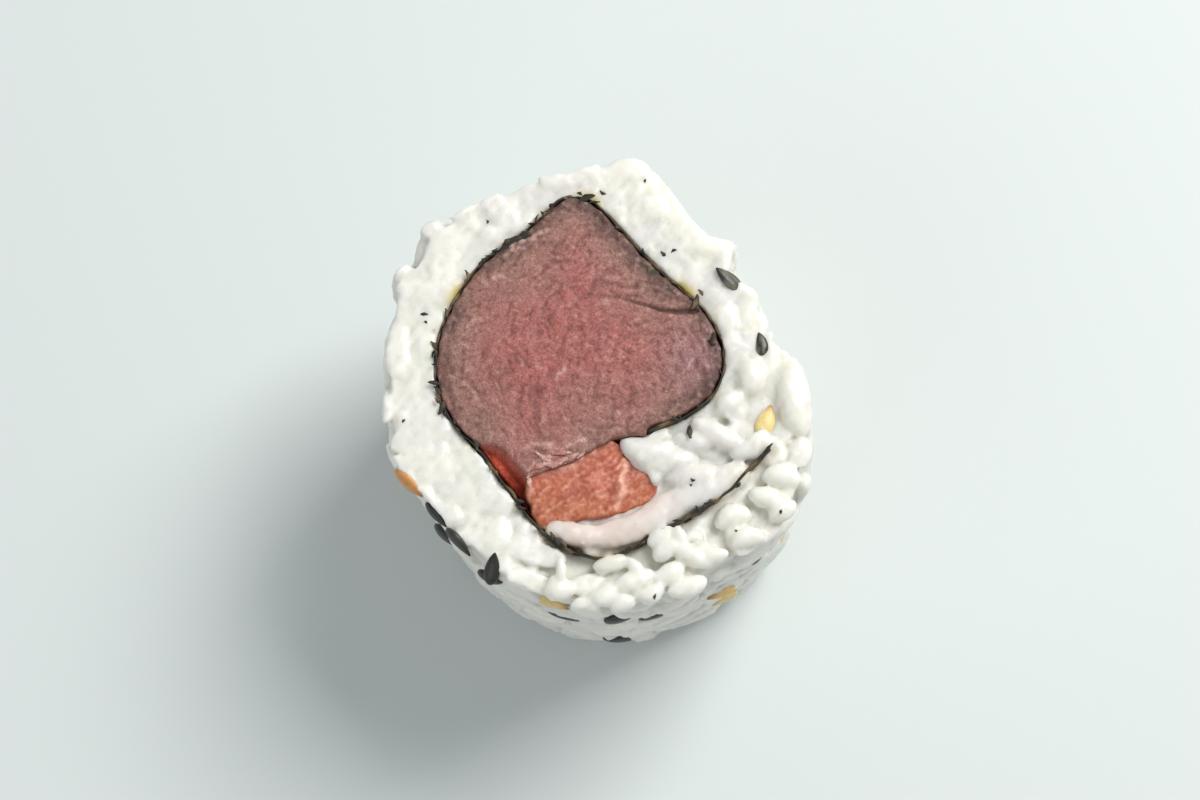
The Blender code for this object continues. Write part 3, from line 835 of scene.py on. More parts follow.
def close_pairs(balls, owner, reach):
    """Pairs of balls of different grains that lie within reach of each other."""
    buckets = {}
    for index, cell in enumerate(map(tuple, np.floor(balls / reach).astype(int))):
        buckets.setdefault(cell, []).append(index)
    near = [(i, j, k) for i in (-1, 0, 1) for j in (-1, 0, 1) for k in (-1, 0, 1)]
    first, second = [], []
    for cell, members in buckets.items():
        cells = [(cell[0] + i, cell[1] + j, cell[2] + k) for i, j, k in near]
        others = [other for near_cell in cells for other in buckets.get(near_cell, ())]
        first.append(np.repeat(members, len(others)))
        second.append(np.tile(others, len(members)))
    first, second = np.concatenate(first), np.concatenate(second)
    kept = (first < second) & (owner[first] != owner[second])
    first, second = first[kept], second[kept]
    kept = ((balls[first] - balls[second]) ** 2).sum(axis=1) < reach * reach
    return first[kept], second[kept]


def settled_grains(section):
    """Grains, each as three balls in a row, pushed apart until they lie close together.

    Returns their middles, directions, half spans and radii, in the upper face's section.
    """
    draw = np.random.default_rng(START_DRAW)
    reach = max(OUTLINE_RADII)
    low, high = (-reach, -reach, 0), (reach, reach, HEIGHT)
    starts = draw.uniform(low, high, (GRAIN_COUNT * START_TRIES, 3))
    room = np.minimum(section.depth("outline", starts)[0], section.depth("hole", starts)[0])
    middles = starts[room > START_ROOM * GRAIN_RADIUS][:GRAIN_COUNT]
    count = len(middles)
    ways = unit(draw.normal(size=(count, 3)))
    spans = GRAIN_HALF_SPAN * draw.uniform(*SPAN_SPREAD, count)
    radii = GRAIN_RADIUS * draw.uniform(*RADIUS_SPREAD, count)
    owner = np.repeat(np.arange(count), 3)
    ball_radii = radii[owner]
    shares = np.tile([-1.0, 0.0, 1.0], count)
    for step in range(SETTLE_STEPS):
        balls = middles[owner] + ways[owner] * (shares * spans[owner])[:, None]
        if step % NEIGHBOUR_STEPS == 0:
            first, second = close_pairs(balls, owner, 3 * GRAIN_RADIUS)
        gap = balls[first] - balls[second]
        far = lengths(gap)
        lack = np.maximum(0, (ball_radii[first] + ball_radii[second]) * PRESS - far)
        move = gap * (PART_SHARE * lack / np.maximum(1e-6, far))[:, None]
        push = summed(first, move, len(balls)) - summed(second, move, len(balls))
        for wall in ("outline", "hole"):
            depth, away = section.depth(wall, balls)
            push[:, :2] += away * np.maximum(0, ball_radii * (1 - WALL_PRESS) - depth)[:, None]
        push[:, 2] += np.maximum(0, CUT_DEPTH - balls[:, 2])
        push[:, 2] -= np.maximum(0, balls[:, 2] - HEIGHT + CUT_DEPTH)
        middles += summed(owner, push, count) / 3
        ways += summed(owner, push * shares[:, None], count) / (2 * spans)[:, None]
        depth, away = section.depth("outline", middles)
        outward = (ways[:, :2] * away).sum(axis=1) * (depth < WALL_TURN_DEPTH)
        ways[:, :2] -= WALL_TURN * outward[:, None] * away
        ways = unit(ways)
    return middles, ways, spans, radii


def spindle(rings, sides, bluntness):
    """Points of a form along X, of half length and half width 1, and its triangles."""
    places = np.cos(np.linspace(math.pi, 0, rings + 2))[1:-1]
    swells = (1 - np.abs(places) ** bluntness) ** 0.5
    turns = np.arange(sides) * FULL_TURN / sides
    hoops = [
        np.column_stack([np.full(sides, x), swell * np.cos(turns), swell * np.sin(turns)])
        for x, swell in zip(places, swells)
    ]
    points = np.vstack([[(-1, 0, 0)], *hoops, [(1, 0, 0)]])
    hoop = 1 + np.arange(sides)
    faces = [np.column_stack([0 * hoop, np.roll(hoop, -1), hoop])]
    for _ in range(rings - 1):
        faces += band(hoop, hoop + sides)
        hoop = hoop + sides
    faces.append(np.column_stack([hoop, np.roll(hoop, -1), 0 * hoop + len(points) - 1]))
    return points, np.vstack(faces)


def laid(form, middles, ways, flats, halves, bends):
    """Points of many forms: each has a middle, a direction, a flat side, half sizes and a bend."""
    ways = unit(ways)
    flats = unit(flats - ways * (flats * ways).sum(axis=1)[:, None])
    across = np.cross(flats, ways)
    local = form[None] * np.broadcast_to(halves, (len(middles), 3))[:, None]
    local[:, :, 1] += bends[:, None] * (0.5 - form[None, :, 0] ** 2)
    spots = local[:, :, :1] * ways[:, None] + local[:, :, 1:2] * across[:, None]
    return middles[:, None] + spots + local[:, :, 2:] * flats[:, None]


def joined(spots, faces):
    """Many forms of as many points each as one list of points and triangles."""
    count, size, _ = spots.shape
    firsts = np.arange(count)[:, None, None] * size
    return spots.reshape(-1, 3), (faces[None] + firsts).reshape(-1, 3)


def pressed(points, section, level):
    """Grain points as the mat, the nori, the knife and the board leave them.

    Level is how far the mat lets this grain stand out, and it evens out towards the upper rim.
    """
    z = points[:, 2]
    angle = np.arctan2(points[:, 1], points[:, 0])
    radius = np.hypot(points[:, 0], points[:, 1])
    limit = wall_radius(angle, z) + level * rising(z, HEIGHT - 2, HEIGHT - 6)
    outer = np.clip(1 - (outline_radius(angle) - radius) / RIM_BUMP_DEPTH, 0, 1)
    radius += rim_bumps(angle, z) * outer
    height, length, distance = WALL_WAVES
    uneven = height * waves(round_axis(distance, angle, z), length, 5)
    points = round_axis(soft_limit(radius, limit + uneven, WALL_SOFT), angle, z)
    depth, away = section.depth("hole", points)
    points[:, :2] += away * np.maximum(0, -RICE_REACH - depth)[:, None]
    points[:, 2] = soft_limit(points[:, 2], face_height(points), CUT_SOFT)
    points[:, 2] = -soft_limit(-points[:, 2], 0.0, CUT_SOFT)
    return points


def hole_reach(angles, hole):
    """How far the hole reaches from the roll's middle in each direction."""
    fine = closed_line(hole, 0.2, 0)
    towards = np.arctan2(fine[:, 1], fine[:, 0])
    apart = np.abs((angles[:, None] - towards + math.pi) % FULL_TURN - math.pi)
    return np.where(apart < math.radians(3), lengths(fine), 0).max(axis=1)


def wall_depth(points):
    """How deep points of the section lie under the wall."""
    angles = np.arctan2(points[:, 1], points[:, 0])
    return wall_radius(angles, points[:, 2]) - np.hypot(points[:, 0], points[:, 1])


def patching_grains(form, section, packed):
    """More grains laid along the wall, wherever the settled ones leave the core bare."""
    draw = np.random.default_rng(PATCH_DRAW)
    shown = packed[:, ::3].reshape(-1, 3)
    shown = shown[wall_depth(shown) < PATCH_DEPTH]
    made = []
    for _ in range(PATCH_TRIES):
        angle, z = draw.uniform((0, PATCH_HEIGHTS[0]), (FULL_TURN, PATCH_HEIGHTS[1]))
        turn = draw.uniform(0, math.pi)
        lean = draw.normal(0, PATCH_LEAN, 3)
        bend = draw.normal(0, GRAIN_BEND)
        outward = np.array((math.cos(angle), math.sin(angle), 0))
        spot = outward * float(wall_radius(angle, z)) + (0, 0, z)
        if lengths(shown - spot).min() < PATCH_CLEAR:
            continue
        way = np.cross(UP, outward) * math.cos(turn) + UP * math.sin(turn)
        halves = np.array(PATCH_HALVES) * draw.uniform(*PATCH_SPREAD, 3)
        middle = spot - outward * (halves[2] + draw.uniform(*PATCH_SUNK))
        rows = (row[None] for row in (middle, way, outward + lean, halves))
        grain = laid(form, *rows, np.array([bend]))[0]
        grain = pressed(grain, section, draw.uniform(*LEVELS))
        made.append(grain)
        shown = np.vstack([shown, grain[wall_depth(grain) < PATCH_DEPTH]])
    return np.array(made)


def rice_core():
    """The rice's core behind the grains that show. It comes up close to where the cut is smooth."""
    angles = np.arange(0, FULL_TURN, math.radians(3))
    hole = closed_line(grown(LOOPS["hole"], -RICE_REACH), 0.8)
    least = hole_reach(angles, hole) + THINNEST
    wall = [
        round_axis(np.maximum(least, wall_radius(angles, z) - CORE_INSET), angles, z)
        for z in CORE_LEVELS
    ]
    sleeve = [raised(hole, z) for z in (CORE_LEVELS[0], CORE_LEVELS[-1])]
    points, faces, top = standing_solid([wall, sleeve], CORE_STEPS)
    points[top, 2] -= CORE_DROP * looseness(points[top]) - 0.1 * waves(points[top][:, :2], 4.0, 9)
    return points, faces


def tongue_grains():
    """Overlapping grains that run together into the smooth tongue of the pocket."""
    line = smooth_line(TONGUE_LINE, 1.0)
    share = np.linspace(0, 1, len(line))
    widths = np.interp(share, (0, 0.4, 1), TONGUE_HALF_WIDTHS) + 0.12 * np.sin(share * 23)
    height = HEIGHT - TONGUE_THICK + 0.1 * np.sin(share * 17)
    halves = np.column_stack([widths * TONGUE_OVERLAP, widths, 0 * widths + TONGUE_THICK])
    return raised(line, height), raised(np.gradient(line, axis=0), 0), halves


def fill_share(points):
    """How fast the valleys between the grains fill: slowest where the cut rice came loose."""
    flat = twisted(points, -1)
    near_top = rising(flat[:, 2] - HEIGHT, -4, -2)
    share = WALL_FILL + (CUT_FILL - WALL_FILL) * near_top
    return share * (1 - LOOSE_UNFILLED * looseness(flat) * near_top)


def wall_grains(form, section, draw):
    """The settled grains that show, pressed, and those that patch the wall between them."""
    middles, ways, spans, radii = settled_grains(section)
    shown = section.depth("outline", middles)[0] < VISIBLE_DEPTH
    shown |= (middles[:, 2] < VISIBLE_DEPTH) | (middles[:, 2] > HEIGHT - VISIBLE_DEPTH)
    middles, ways, spans, radii = middles[shown], ways[shown], spans[shown], radii[shown]
    outward = unit(middles * (1, 1, 0))
    flats = outward + draw.normal(0, GRAIN_LEAN, outward.shape)
    halves = np.column_stack([spans + radii, radii * GRAIN_WIDE, radii * GRAIN_THIN])
    grains = laid(form, middles, ways, flats, halves, draw.normal(0, GRAIN_BEND, len(middles)))
    levels = draw.uniform(*LEVELS, len(grains))
    grains = np.array([pressed(grain, section, level) for grain, level in zip(grains, levels)])
    return np.concatenate([grains, patching_grains(form, section, grains)])


def face_grains(draw):
    """The grains that stand out on the upper face, and how clear they are."""
    x0, y0, x1, y1, lifts, clears, wide = np.array(FACE_GRAINS).T
    slopes = draw.uniform(-FACE_SLOPE, FACE_SLOPE, len(wide))
    middles = np.column_stack([(x0 + x1) / 2, (y0 + y1) / 2, HEIGHT - wide + lifts])
    ways = np.column_stack([x1 - x0, y1 - y0, slopes])
    halves = np.column_stack([lengths(ways) / 2, wide * GRAIN_WIDE, wide])
    form, _ = spindle(*POINTED_FORM)
    bends = draw.normal(0, FACE_BEND, len(wide))
    return laid(form, middles, ways, UP, halves, bends), clears


def make_rice():
    """One skin over the grains and the core. Returns the surface that things lie on."""
    form, form_faces = spindle(*GRAIN_FORM)
    draw = np.random.default_rng(GRAIN_DRAW)
    packed = wall_grains(form, RiceSection(), draw)
    shown, clears = face_grains(draw)
    middles, ways, halves = tongue_grains()
    tongue = laid(form, middles, ways, UP, halves, 0 * middles[:, 0])
    spots = np.concatenate([packed, shown, tongue])
    clear = [*draw.uniform(0, CLEAR_MOST, len(packed)), *clears] + [CLEAR_TONGUE] * len(tongue)
    points, faces = combined(*joined(spots, form_faces), *rice_core())
    data = mesh_of("rice_grains", twisted(points), faces)
    data = largest_part(modified(data, "REMESH", mode="VOXEL", voxel_size=VOXEL))
    data = smoothed(data, 2)
    fill_valleys(data, FILL_STEPS, fill_share)
    data = smoothed(data, 1)
    points = read_vectors(data.vertices, "co")
    uneven = sum(height * waves(points, length, seed) for height, length, seed in RICE_RELIEF)
    write_points(data, points + read_vectors(data.vertices, "normal") * uneven[:, None])
    ratio = min(1.0, RICE_TRIANGLES / (2 * len(data.polygons)))
    data = modified(data, "DECIMATE", ratio=ratio, use_collapse_triangulate=True)
    colours = rice_colours(data, spots, np.array(clear), len(packed) + len(shown))
    surface = BVHTree.FromPolygons(
        [Vector(point) for point in read_vectors(data.vertices, "co")],
        [tuple(face.vertices) for face in data.polygons],
    )
    add_piece(
        data, colours, "rice", "rice", roughness=0.4, scatter=0.7, radius=(1.6, 1.4, 1.1), coat=0.1,
        mottle=(1.6, 0.04), bump=(0.35, 0.02),
    )
    return surface


RICE_WHITE = (240, 238, 227)
RICE_CLEAR = (222, 218, 214)
RICE_PINK = (224, 204, 194)
# Grey-green painted shade, laid into the valleys between the grains.
RICE_PAINTED_SHADE = (180, 182, 160)
STAIN = (200, 178, 84)
# Where along X the tongue's pink tinge ends, and where it is full.
PINK_FADE = (9.0, 5.0)
# Where the nori has stained the rice yellow: middles and how far it shows.
STAINS = (((-13.3, 8.6), 2.4), ((-0.2, 17.8), 2.2), ((8.6, 9.0), 2.6), ((13.3, 4.4), 1.8))


def rice_colours(data, spots, clear, first_pink):
    """White grains, some clearer or pink from the fish, with painted shade between them and stained
    at the nori.
    """
    points = read_vectors(data.vertices, "co")
    sampled = spots[:, ::5]
    tree = kdtree.KDTree(sampled.size // 3)
    for index, spot in enumerate(twisted(sampled.reshape(-1, 3))):
        tree.insert(spot, index)
    tree.balance()
    owner = np.array([tree.find(point)[1] for point in points]) // sampled.shape[1]
    pink = (owner >= first_pink) * rising(points[:, 0], *PINK_FADE)
    smooth = smoothed(data.copy(), 16)
    lifted = read_vectors(smooth.vertices, "co") - points
    bpy.data.meshes.remove(smooth)
    valley = (lifted * read_vectors(data.vertices, "normal")).sum(axis=1)
    flat = twisted(points, -1)
    top = rising(flat[:, 2] - HEIGHT, -6, -2)
    at_nori = near_line(flat[:, :2], LOOPS["middle"], 1.3)
    stain = 0.25 * at_nori * np.clip(0.4 + waves(flat, 5.0, 31), 0, 1)
    for middle, reach in STAINS:
        stain += fading(lengths(flat[:, :2] - middle), reach) * at_nori
    return layered(
        RICE_WHITE,
        (RICE_CLEAR, 1, clear[owner]),
        (RICE_PINK, 0.75, pink * np.clip(1 + waves(points, 3.0, 51), 0.5, 1)),
        # Painted shade in the valleys between grains, stronger on the wall than on the cut face.
        (RICE_PAINTED_SHADE, 1, (0.9 - 0.3 * top) * rising(valley, 0, 0.25)),
        (STAIN, 1, stain * top),
    )


# ---------------- sesame seeds

# Which of the rim's, the face's and the spread seeds are toasted; the rest are black.
TOASTED_RIM = (0, 7)
TOASTED_FACE = (1,)
BLACK_SPREAD_EVERY = 3
# Toasted or not: piece, slot, body colours of two kinds, tip, roughness, how far tones spread to
# the second kind, how much the streaks show, and how far light gets in.
SEED_KINDS = {
    True: (
        "toasted_seeds", "sesame_toasted", (236, 212, 146), (222, 158, 90), (180, 122, 60),
        0.42, 0.8, 0.3, 0.15,
    ),
    False: (
        "black_seeds", "sesame_black", (34, 34, 31), (116, 112, 94), (20, 19, 17),
        0.38, 0.4, 0.85, 0.0,
    ),
}
# How far some seeds that the photograph shows close up have the second body colour.
SET_TONES = {True: {0: 1.0, -1: 0.0}, False: {5: 1.0, -1: 1.0}}
# How large the toasted seed at the rim is, and how much shows of the black one on the face.
BIG_SEED = (1.15, 1.05, 1.0)
HALF_HIDDEN = 0.7
SEED_SPREAD = (0.9, 1.08)
SEED_BEND = 0.12
# How far a seed turns to lie flat on what carries it.
SEED_TURN = 0.8
SEED_LOOKS_DRAW = 41
# The form: rings, points in each and bluntness, how much narrower the tip is, and the ridge's
# height and half width.
SEED_FORM = (13, 14, 2.2)
SEED_NARROW = 0.62
SEED_RIDGE = (0.12, 0.18)
# From where along a seed the tip's colour shows.
TIP_FROM = 0.62
# How fast the streaks change in each direction, and from which tone on a seed has them.
STREAK_WAYS = (0.3, 1.2, 0.0)
STREAKED_FROM = 0.7


def on_wall(angle, z):
    """The wall's place in a direction at a height."""
    radius = float(wall_radius(angle, z))
    return Vector(twisted(np.array([[radius * math.cos(angle), radius * math.sin(angle), z]]))[0])


def wall_frame(angle, z):
    """A place on the wall, with the directions round it and out of it."""
    near = math.radians(1)
    round_it = (on_wall(angle + near, z) - on_wall(angle - near, z)).normalized()
    return on_wall(angle, z), round_it, round_it.cross(Vector(UP)).normalized()


def seed_rays():
    """Where each seed is laid: a start outside, the way in, its length's direction, its kind."""
    draw = random.Random(SEED_DRAW)
    wall_seeds = [
        (math.radians(angle), z, math.radians(turn), math.radians(over), index in TOASTED_RIM)
        for index, (angle, z, turn, over) in enumerate(RIM_SEEDS)
    ]
    for i in range(SPREAD_SEEDS):
        z = SPREAD_HEIGHTS[0] + np.ptp(SPREAD_HEIGHTS) * (i * GOLDEN_SHARE % 1)
        angle = FULL_TURN * (i + 0.5) / SPREAD_SEEDS + draw.uniform(-SPREAD_STRAY, SPREAD_STRAY)
        turn = draw.uniform(0, math.pi)
        degrees = math.degrees(angle)
        if not any(start < degrees < end and z > low for start, end, low in SEEN_WALL):
            wall_seeds.append((angle, z, turn, 0.0, i % BLACK_SPREAD_EVERY > 0))
    rays, taken = [], []
    for index, (angle, z, turn, over, toasted) in enumerate(wall_seeds):
        origin, round_it, outward = wall_frame(angle, z)
        near = any((origin - other).length < SEED_SPACING for other in taken)
        if near and index >= len(RIM_SEEDS):
            continue
        taken.append(origin)
        along = round_it * math.cos(turn) + Vector(UP) * math.sin(turn)
        away = outward * math.cos(over) + Vector(UP) * math.sin(over)
        rays.append((origin + away * SEED_REACH, -away, along, toasted))
    for index, (x, y, turn_deg) in enumerate(FACE_SEEDS):
        turn = math.radians(turn_deg)
        along = Vector((math.cos(turn), math.sin(turn), 0))
        start = Vector((x, y, HEIGHT + SEED_REACH))
        rays.append((start, -Vector(UP), along, index in TOASTED_FACE))
    return rays


def seed_form():
    """A teardrop along X, pointed at +X, with a slight ridge along its upper side.

    Returns its points, its triangles, and how far along it each point lies.
    """
    form, faces = spindle(*SEED_FORM)
    share = (form[:, 0] + 1) / 2
    narrow = 1 - SEED_NARROW * share**2.2
    form[:, 1:] *= narrow[:, None]
    height, half_width = SEED_RIDGE
    ridge = height * np.exp(-((form[:, 1] / half_width) ** 2))
    form[:, 2] += ridge * (form[:, 2] > 0) * narrow
    return form, faces, share


def resting_place(surface, start, inward, along):
    """Where a seed comes to lie on what its footprint meets: its middle, length and upper side."""
    along = (along - inward * along.dot(inward)).normalized()
    across = inward.cross(along)
    feet = [(0, 0), (0.5, 0), (-0.5, 0), (0, 0.5), (0, -0.5)]
    spots, normals = [], Vector((0, 0, 0))
    for ahead, aside in feet:
        foot = start + along * ahead * SEED_SIZE[0] / 2 + across * aside * SEED_SIZE[1] / 2
        spot, normal, _, _ = surface.ray_cast(foot, inward)
        if spot:
            spots.append((spot - start).dot(inward))
            normals += normal
    outward = (normals.normalized() * SEED_TURN - inward).normalized()
    down = sorted(spots)[len(spots) // 2]
    return start + inward * (down - SEED_SUNK / 2), along, outward


def make_seeds(surface):
    """The seeds, laid on the rice in two pieces."""
    form, form_faces, share = seed_form()
    draw = np.random.default_rng(SEED_LOOKS_DRAW)
    resting = {True: [], False: []}
    for start, inward, along, toasted in seed_rays():
        resting[toasted].append(resting_place(surface, start, inward, along))
    for toasted, kind in SEED_KINDS.items():
        name, slot, body, other, tip, roughness, tone_spread, streak_strength, scatter = kind
        middles, ways, flats = (np.array(rows) for rows in zip(*resting[toasted]))
        count = len(middles)
        sizes = draw.uniform(*SEED_SPREAD, (count, 3))
        if toasted:
            sizes[0] = BIG_SEED
        else:
            sizes[-1] *= HALF_HIDDEN
        halves = np.array(SEED_SIZE) / 2 * sizes
        spots = laid(form, middles, ways, flats, halves, draw.normal(0, SEED_BEND, count))
        tone = draw.uniform(0, tone_spread, count) ** 2
        for index, set_tone in SET_TONES[toasted].items():
            tone[index] = set_tone
        tone = np.repeat(tone, len(form))
        streaks = np.tile(waves(form * STREAK_WAYS + 1.0, 1.1, 19, 1), count)
        streaks = np.clip(3.0 * streaks + 0.5, 0, 1) * (tone > STREAKED_FROM)
        colours = layered(
            body,
            (other, 1, tone),
            (tip, 1, np.tile(rising(share, TIP_FROM, 1) ** 1.5, count)),
            (tip, streak_strength, streaks),
        )
        add_piece(
            mesh_of(name, *joined(spots, form_faces)), colours, slot, roughness=roughness,
            scatter=scatter, radius=(0.6, 0.4, 0.2), mottle=(0.5, 0.12), bump=(0.25, 0.03),
        )


# ---------------- the nori

NORI_STEP = 0.3
NORI_LEVELS = (NORI_FOOT, 6.0, 12.0, 18.0, 24.0, 28.0, 30.0, 31.0, 31.6)
NORI_HALF = 0.12
# How high the sheet's edge stands on average, how much higher the tail stands, and how far from
# its end that starts and is full.
NORI_TOP = 31.8
NORI_TAIL_RISE = 0.5
NORI_TAIL = (-12, -8)
# Between which heights the sheet comes to wander from its line.
NORI_WANDER = (26, 32)
NORI_DARK = (38, 33, 24)
NORI_BROWN = (108, 90, 62)
FLAKE_FORM = (7, 10, 3.0)
SHRED_HALF = 0.08
# Small scraps frayed off the nori's edge: how many, the draw, and their least and greatest size.
FRAYED = 64
FRAY_DRAW = 19
FRAY_SIZES = ((0.4, 0.15), (1.1, 0.38))
# Flaps and scraps of nori on the cut face: middle, length, width, turn in degrees and height.
FLAPS = (
    (-7.9, 12.7, 2.8, 1.1, 38, 32.1), (-6.6, 13.6, 1.6, 0.7, 20, 32.15),
    (5.4, 9.8, 1.9, 1.0, 120, 32.1), (10.6, 4.0, 1.9, 0.9, 105, 32.1),
    (8.7, -5.0, 1.3, 0.5, 95, 32.5), (-3.0, -15.0, 1.6, 0.6, -35, 31.9),
    (9.2, 7.2, 1.6, 0.5, 70, 32.3), (-14.6, -0.3, 1.3, 0.4, 170, 32.1),
    (-0.9, 17.2, 1.8, 0.6, 20, 32.1), (15.8, -6.4, 1.2, 0.25, 45, 32.2),
    (-13.9, -2.6, 1.4, 0.5, 70, 32.0),
)
# Crumbs of nori on the rice: place on the cut face and length.
CRUMBS = (
    (-15.8, 6.3, 0.8), (4.5, 19.0, 0.4), (6.3, 11.9, 0.9), (7.2, 12.2, 0.6), (-10.1, 15.1, 0.4),
    (9.7, 8.3, 0.8), (0.6, 17.9, 0.8), (-16.9, 11.0, 0.7), (9.0, -9.3, 0.5), (16.9, -12.3, 0.5),
    (12.9, -14.0, 0.4), (-17.4, -3.8, 0.4), (5.6, -20.0, 0.6), (-15.6, 5.5, 0.4), (8.8, -9.8, 0.3),
)


def nori_sheet():
    """The sheet on its edge: a closed band with a ragged upper edge."""
    line = smooth_line(NORI_LINE, NORI_STEP)
    aside = sideways(line)
    along = np.arange(len(line)) * NORI_STEP
    stretched = np.column_stack([along, 0 * along])
    ragged = NORI_TOP + 0.25 * grainy(stretched, 0.9, 2) + 0.3 * waves(stretched, 8.0, 6, 2)
    ragged += NORI_TAIL_RISE * rising(along - along[-1], *NORI_TAIL)
    wander = 0.1 * grainy(stretched, 1.4, 4)
    half = NORI_HALF * (1 + 0.5 * grainy(stretched, 2.2, 8))
    rings = []
    for side in (-1, 1):
        for z in NORI_LEVELS[::-side]:
            shift = side * half + wander * rising(z, *NORI_WANDER)
            rings.append((shift, np.minimum(z, ragged - 0.15)))
    rings.insert(len(NORI_LEVELS), (wander, ragged))
    rings.append((0 * wander, NORI_FOOT - 0.1))
    size = len(rings)
    hoops = [raised(line + shift[:, None] * aside, height) for shift, height in rings]
    points = np.stack(hoops, axis=1).reshape(-1, 3)
    hoop = np.arange(size)
    faces = []
    for _ in line[1:]:
        faces += band(hoop, hoop + size)
        hoop = hoop + size
    fan = np.arange(1, size - 1)
    faces.append(np.column_stack([0 * fan, fan + 1, fan]))
    faces.append(np.column_stack([0 * fan, fan, fan + 1]) + hoop[0])
    return points, np.vstack(faces)


def frayed_scraps():
    """Rows of scraps along the nori's edge, as FLAPS has them."""
    draw = np.random.default_rng(FRAY_DRAW)
    line = smooth_line(NORI_LINE, 0.5)
    picks = draw.integers(1, len(line) - 1, FRAYED)
    ways = line[picks + 1] - line[picks - 1]
    turns = np.degrees(np.arctan2(ways[:, 1], ways[:, 0])) + draw.normal(0, 30, FRAYED)
    places = line[picks] + draw.normal(0, 0.15, (FRAYED, 2))
    sizes = draw.uniform(*FRAY_SIZES, (FRAYED, 2))
    return np.column_stack([places, sizes, turns, HEIGHT + draw.uniform(-0.1, 0.25, FRAYED)])


def shreds(rows):
    """Thin torn scraps, each from its middle, length, width, turn in degrees and height."""
    form, form_faces = spindle(*FLAKE_FORM)
    form[:, 1] *= 1 + 0.35 * np.sin(5 * form[:, 0] + 1) + 0.2 * np.sin(11 * form[:, 0])
    x, y, spans, widths, turns_deg, heights = np.array(rows, float).T
    turns = np.radians(turns_deg)
    middles = np.column_stack([x, y, heights])
    ways = np.column_stack([np.cos(turns), np.sin(turns), 0.1 * np.sin(turns * 3)])
    flats = np.column_stack([0.3 * np.cos(turns * 5), 0.3 * np.sin(turns * 7), 1 + 0 * turns])
    halves = np.column_stack([spans / 2, widths / 2, SHRED_HALF + 0 * turns])
    return joined(laid(form, middles, ways, flats, halves, 0.15 * np.sin(turns * 4)), form_faces)


def make_nori(surface):
    """The sheet with the scraps that hang on its edge or lie on the rice."""
    points, faces = nori_sheet()
    crumbs = []
    for x, y, length in CRUMBS:
        spot = surface.ray_cast(Vector((x, y, HEIGHT + SEED_REACH)), -Vector(UP))[0]
        if spot:
            crumbs.append((x, y, length, 0.14 + 0.2 * length, 57 * (x + y), spot.z))
    scraps, scrap_faces = shreds([*FLAPS, *frayed_scraps(), *crumbs])
    brown = 0.25 + 1.2 * waves(np.vstack([points, scraps]), 2.4, 12)
    brown[len(points) :] -= 0.4
    points, faces = combined(points, faces, scraps, scrap_faces)
    add_piece(
        mesh_of("nori_sheet", twisted(points), faces), layered(NORI_DARK, (NORI_BROWN, 1, brown)),
        "nori", "nori", roughness=0.62, mottle=(0.5, 0.35), bump=(0.4, 0.05),
    )


# ---------------- the tuna block and the strip

FISH_STEP = 0.17
FISH_FOOT_STEP = 1.5
FISH_REACH = 0.2
# Rings of the fish's wall, that rounds over at the rim: height, how far in, and how far each
# follows the cut face down.
FISH_RINGS = (
    (GAP, 0, 0), (8.0, 0, 0), (16.0, 0, 0), (24.0, 0, 0), (28.5, 0, 0.6), (HEIGHT - 1.0, 0, 1),
    (HEIGHT - 0.35, 0.02, 1), (HEIGHT - 0.1, 0.1, 1), (HEIGHT, 0.24, 1),
)
TUNA_CENTRE = (172, 100, 92)
TUNA_OUTER = (156, 114, 102)
# Grey-brown of the block's rim. It is also used as painted shade in the crack and the nicks.
TUNA_RIM_BROWN_AND_SHADE = (80, 60, 50)
TUNA_PIT = (102, 52, 46)
TUNA_CORNER = (154, 110, 112)
TUNA_HOLLOW = (216, 88, 62)
# Painted shade, darkening the torn hollow towards its deepest end.
TUNA_HOLLOW_PAINTED_SHADE = (150, 26, 18)
TUNA_PALE = (222, 178, 164)
STRIP_RED = (196, 111, 84)
STRIP_ORANGE = (186, 106, 68)
STRIP_PALE = (236, 180, 158)
# Darker flakes of the strip. It is also used as painted shade along the strip's outline.
STRIP_DARK_AND_SHADE = (146, 62, 46)
# Where the block's right-hand corner is greyer, and how far that reaches.
CORNER_MIDDLE = (9.8, 1.8)
CORNER_REACH = 6.0
# The middle that the block's fibres curve round, how fine they are, and how fast they change along
# their length.
FIBRE_MIDDLE = (3.0, 0.0)
FIBRE_FINE = 0.34
FIBRE_ALONG = 6.0
# The crack's line. The groove cut along it is darkened with painted shade.
CRACK_LINE = ((-1.0, 7.9), (2.0, 7.6), (4.5, 7.0), (6.0, 6.5), (7.6, 6.3), (9.4, 6.5))
# How far wisps and nicks bend, as a share of their length, and how far they reach to each side.
WISP_BEND = 0.12
WISP_REACH = 0.36
NICK_REACH = 0.24
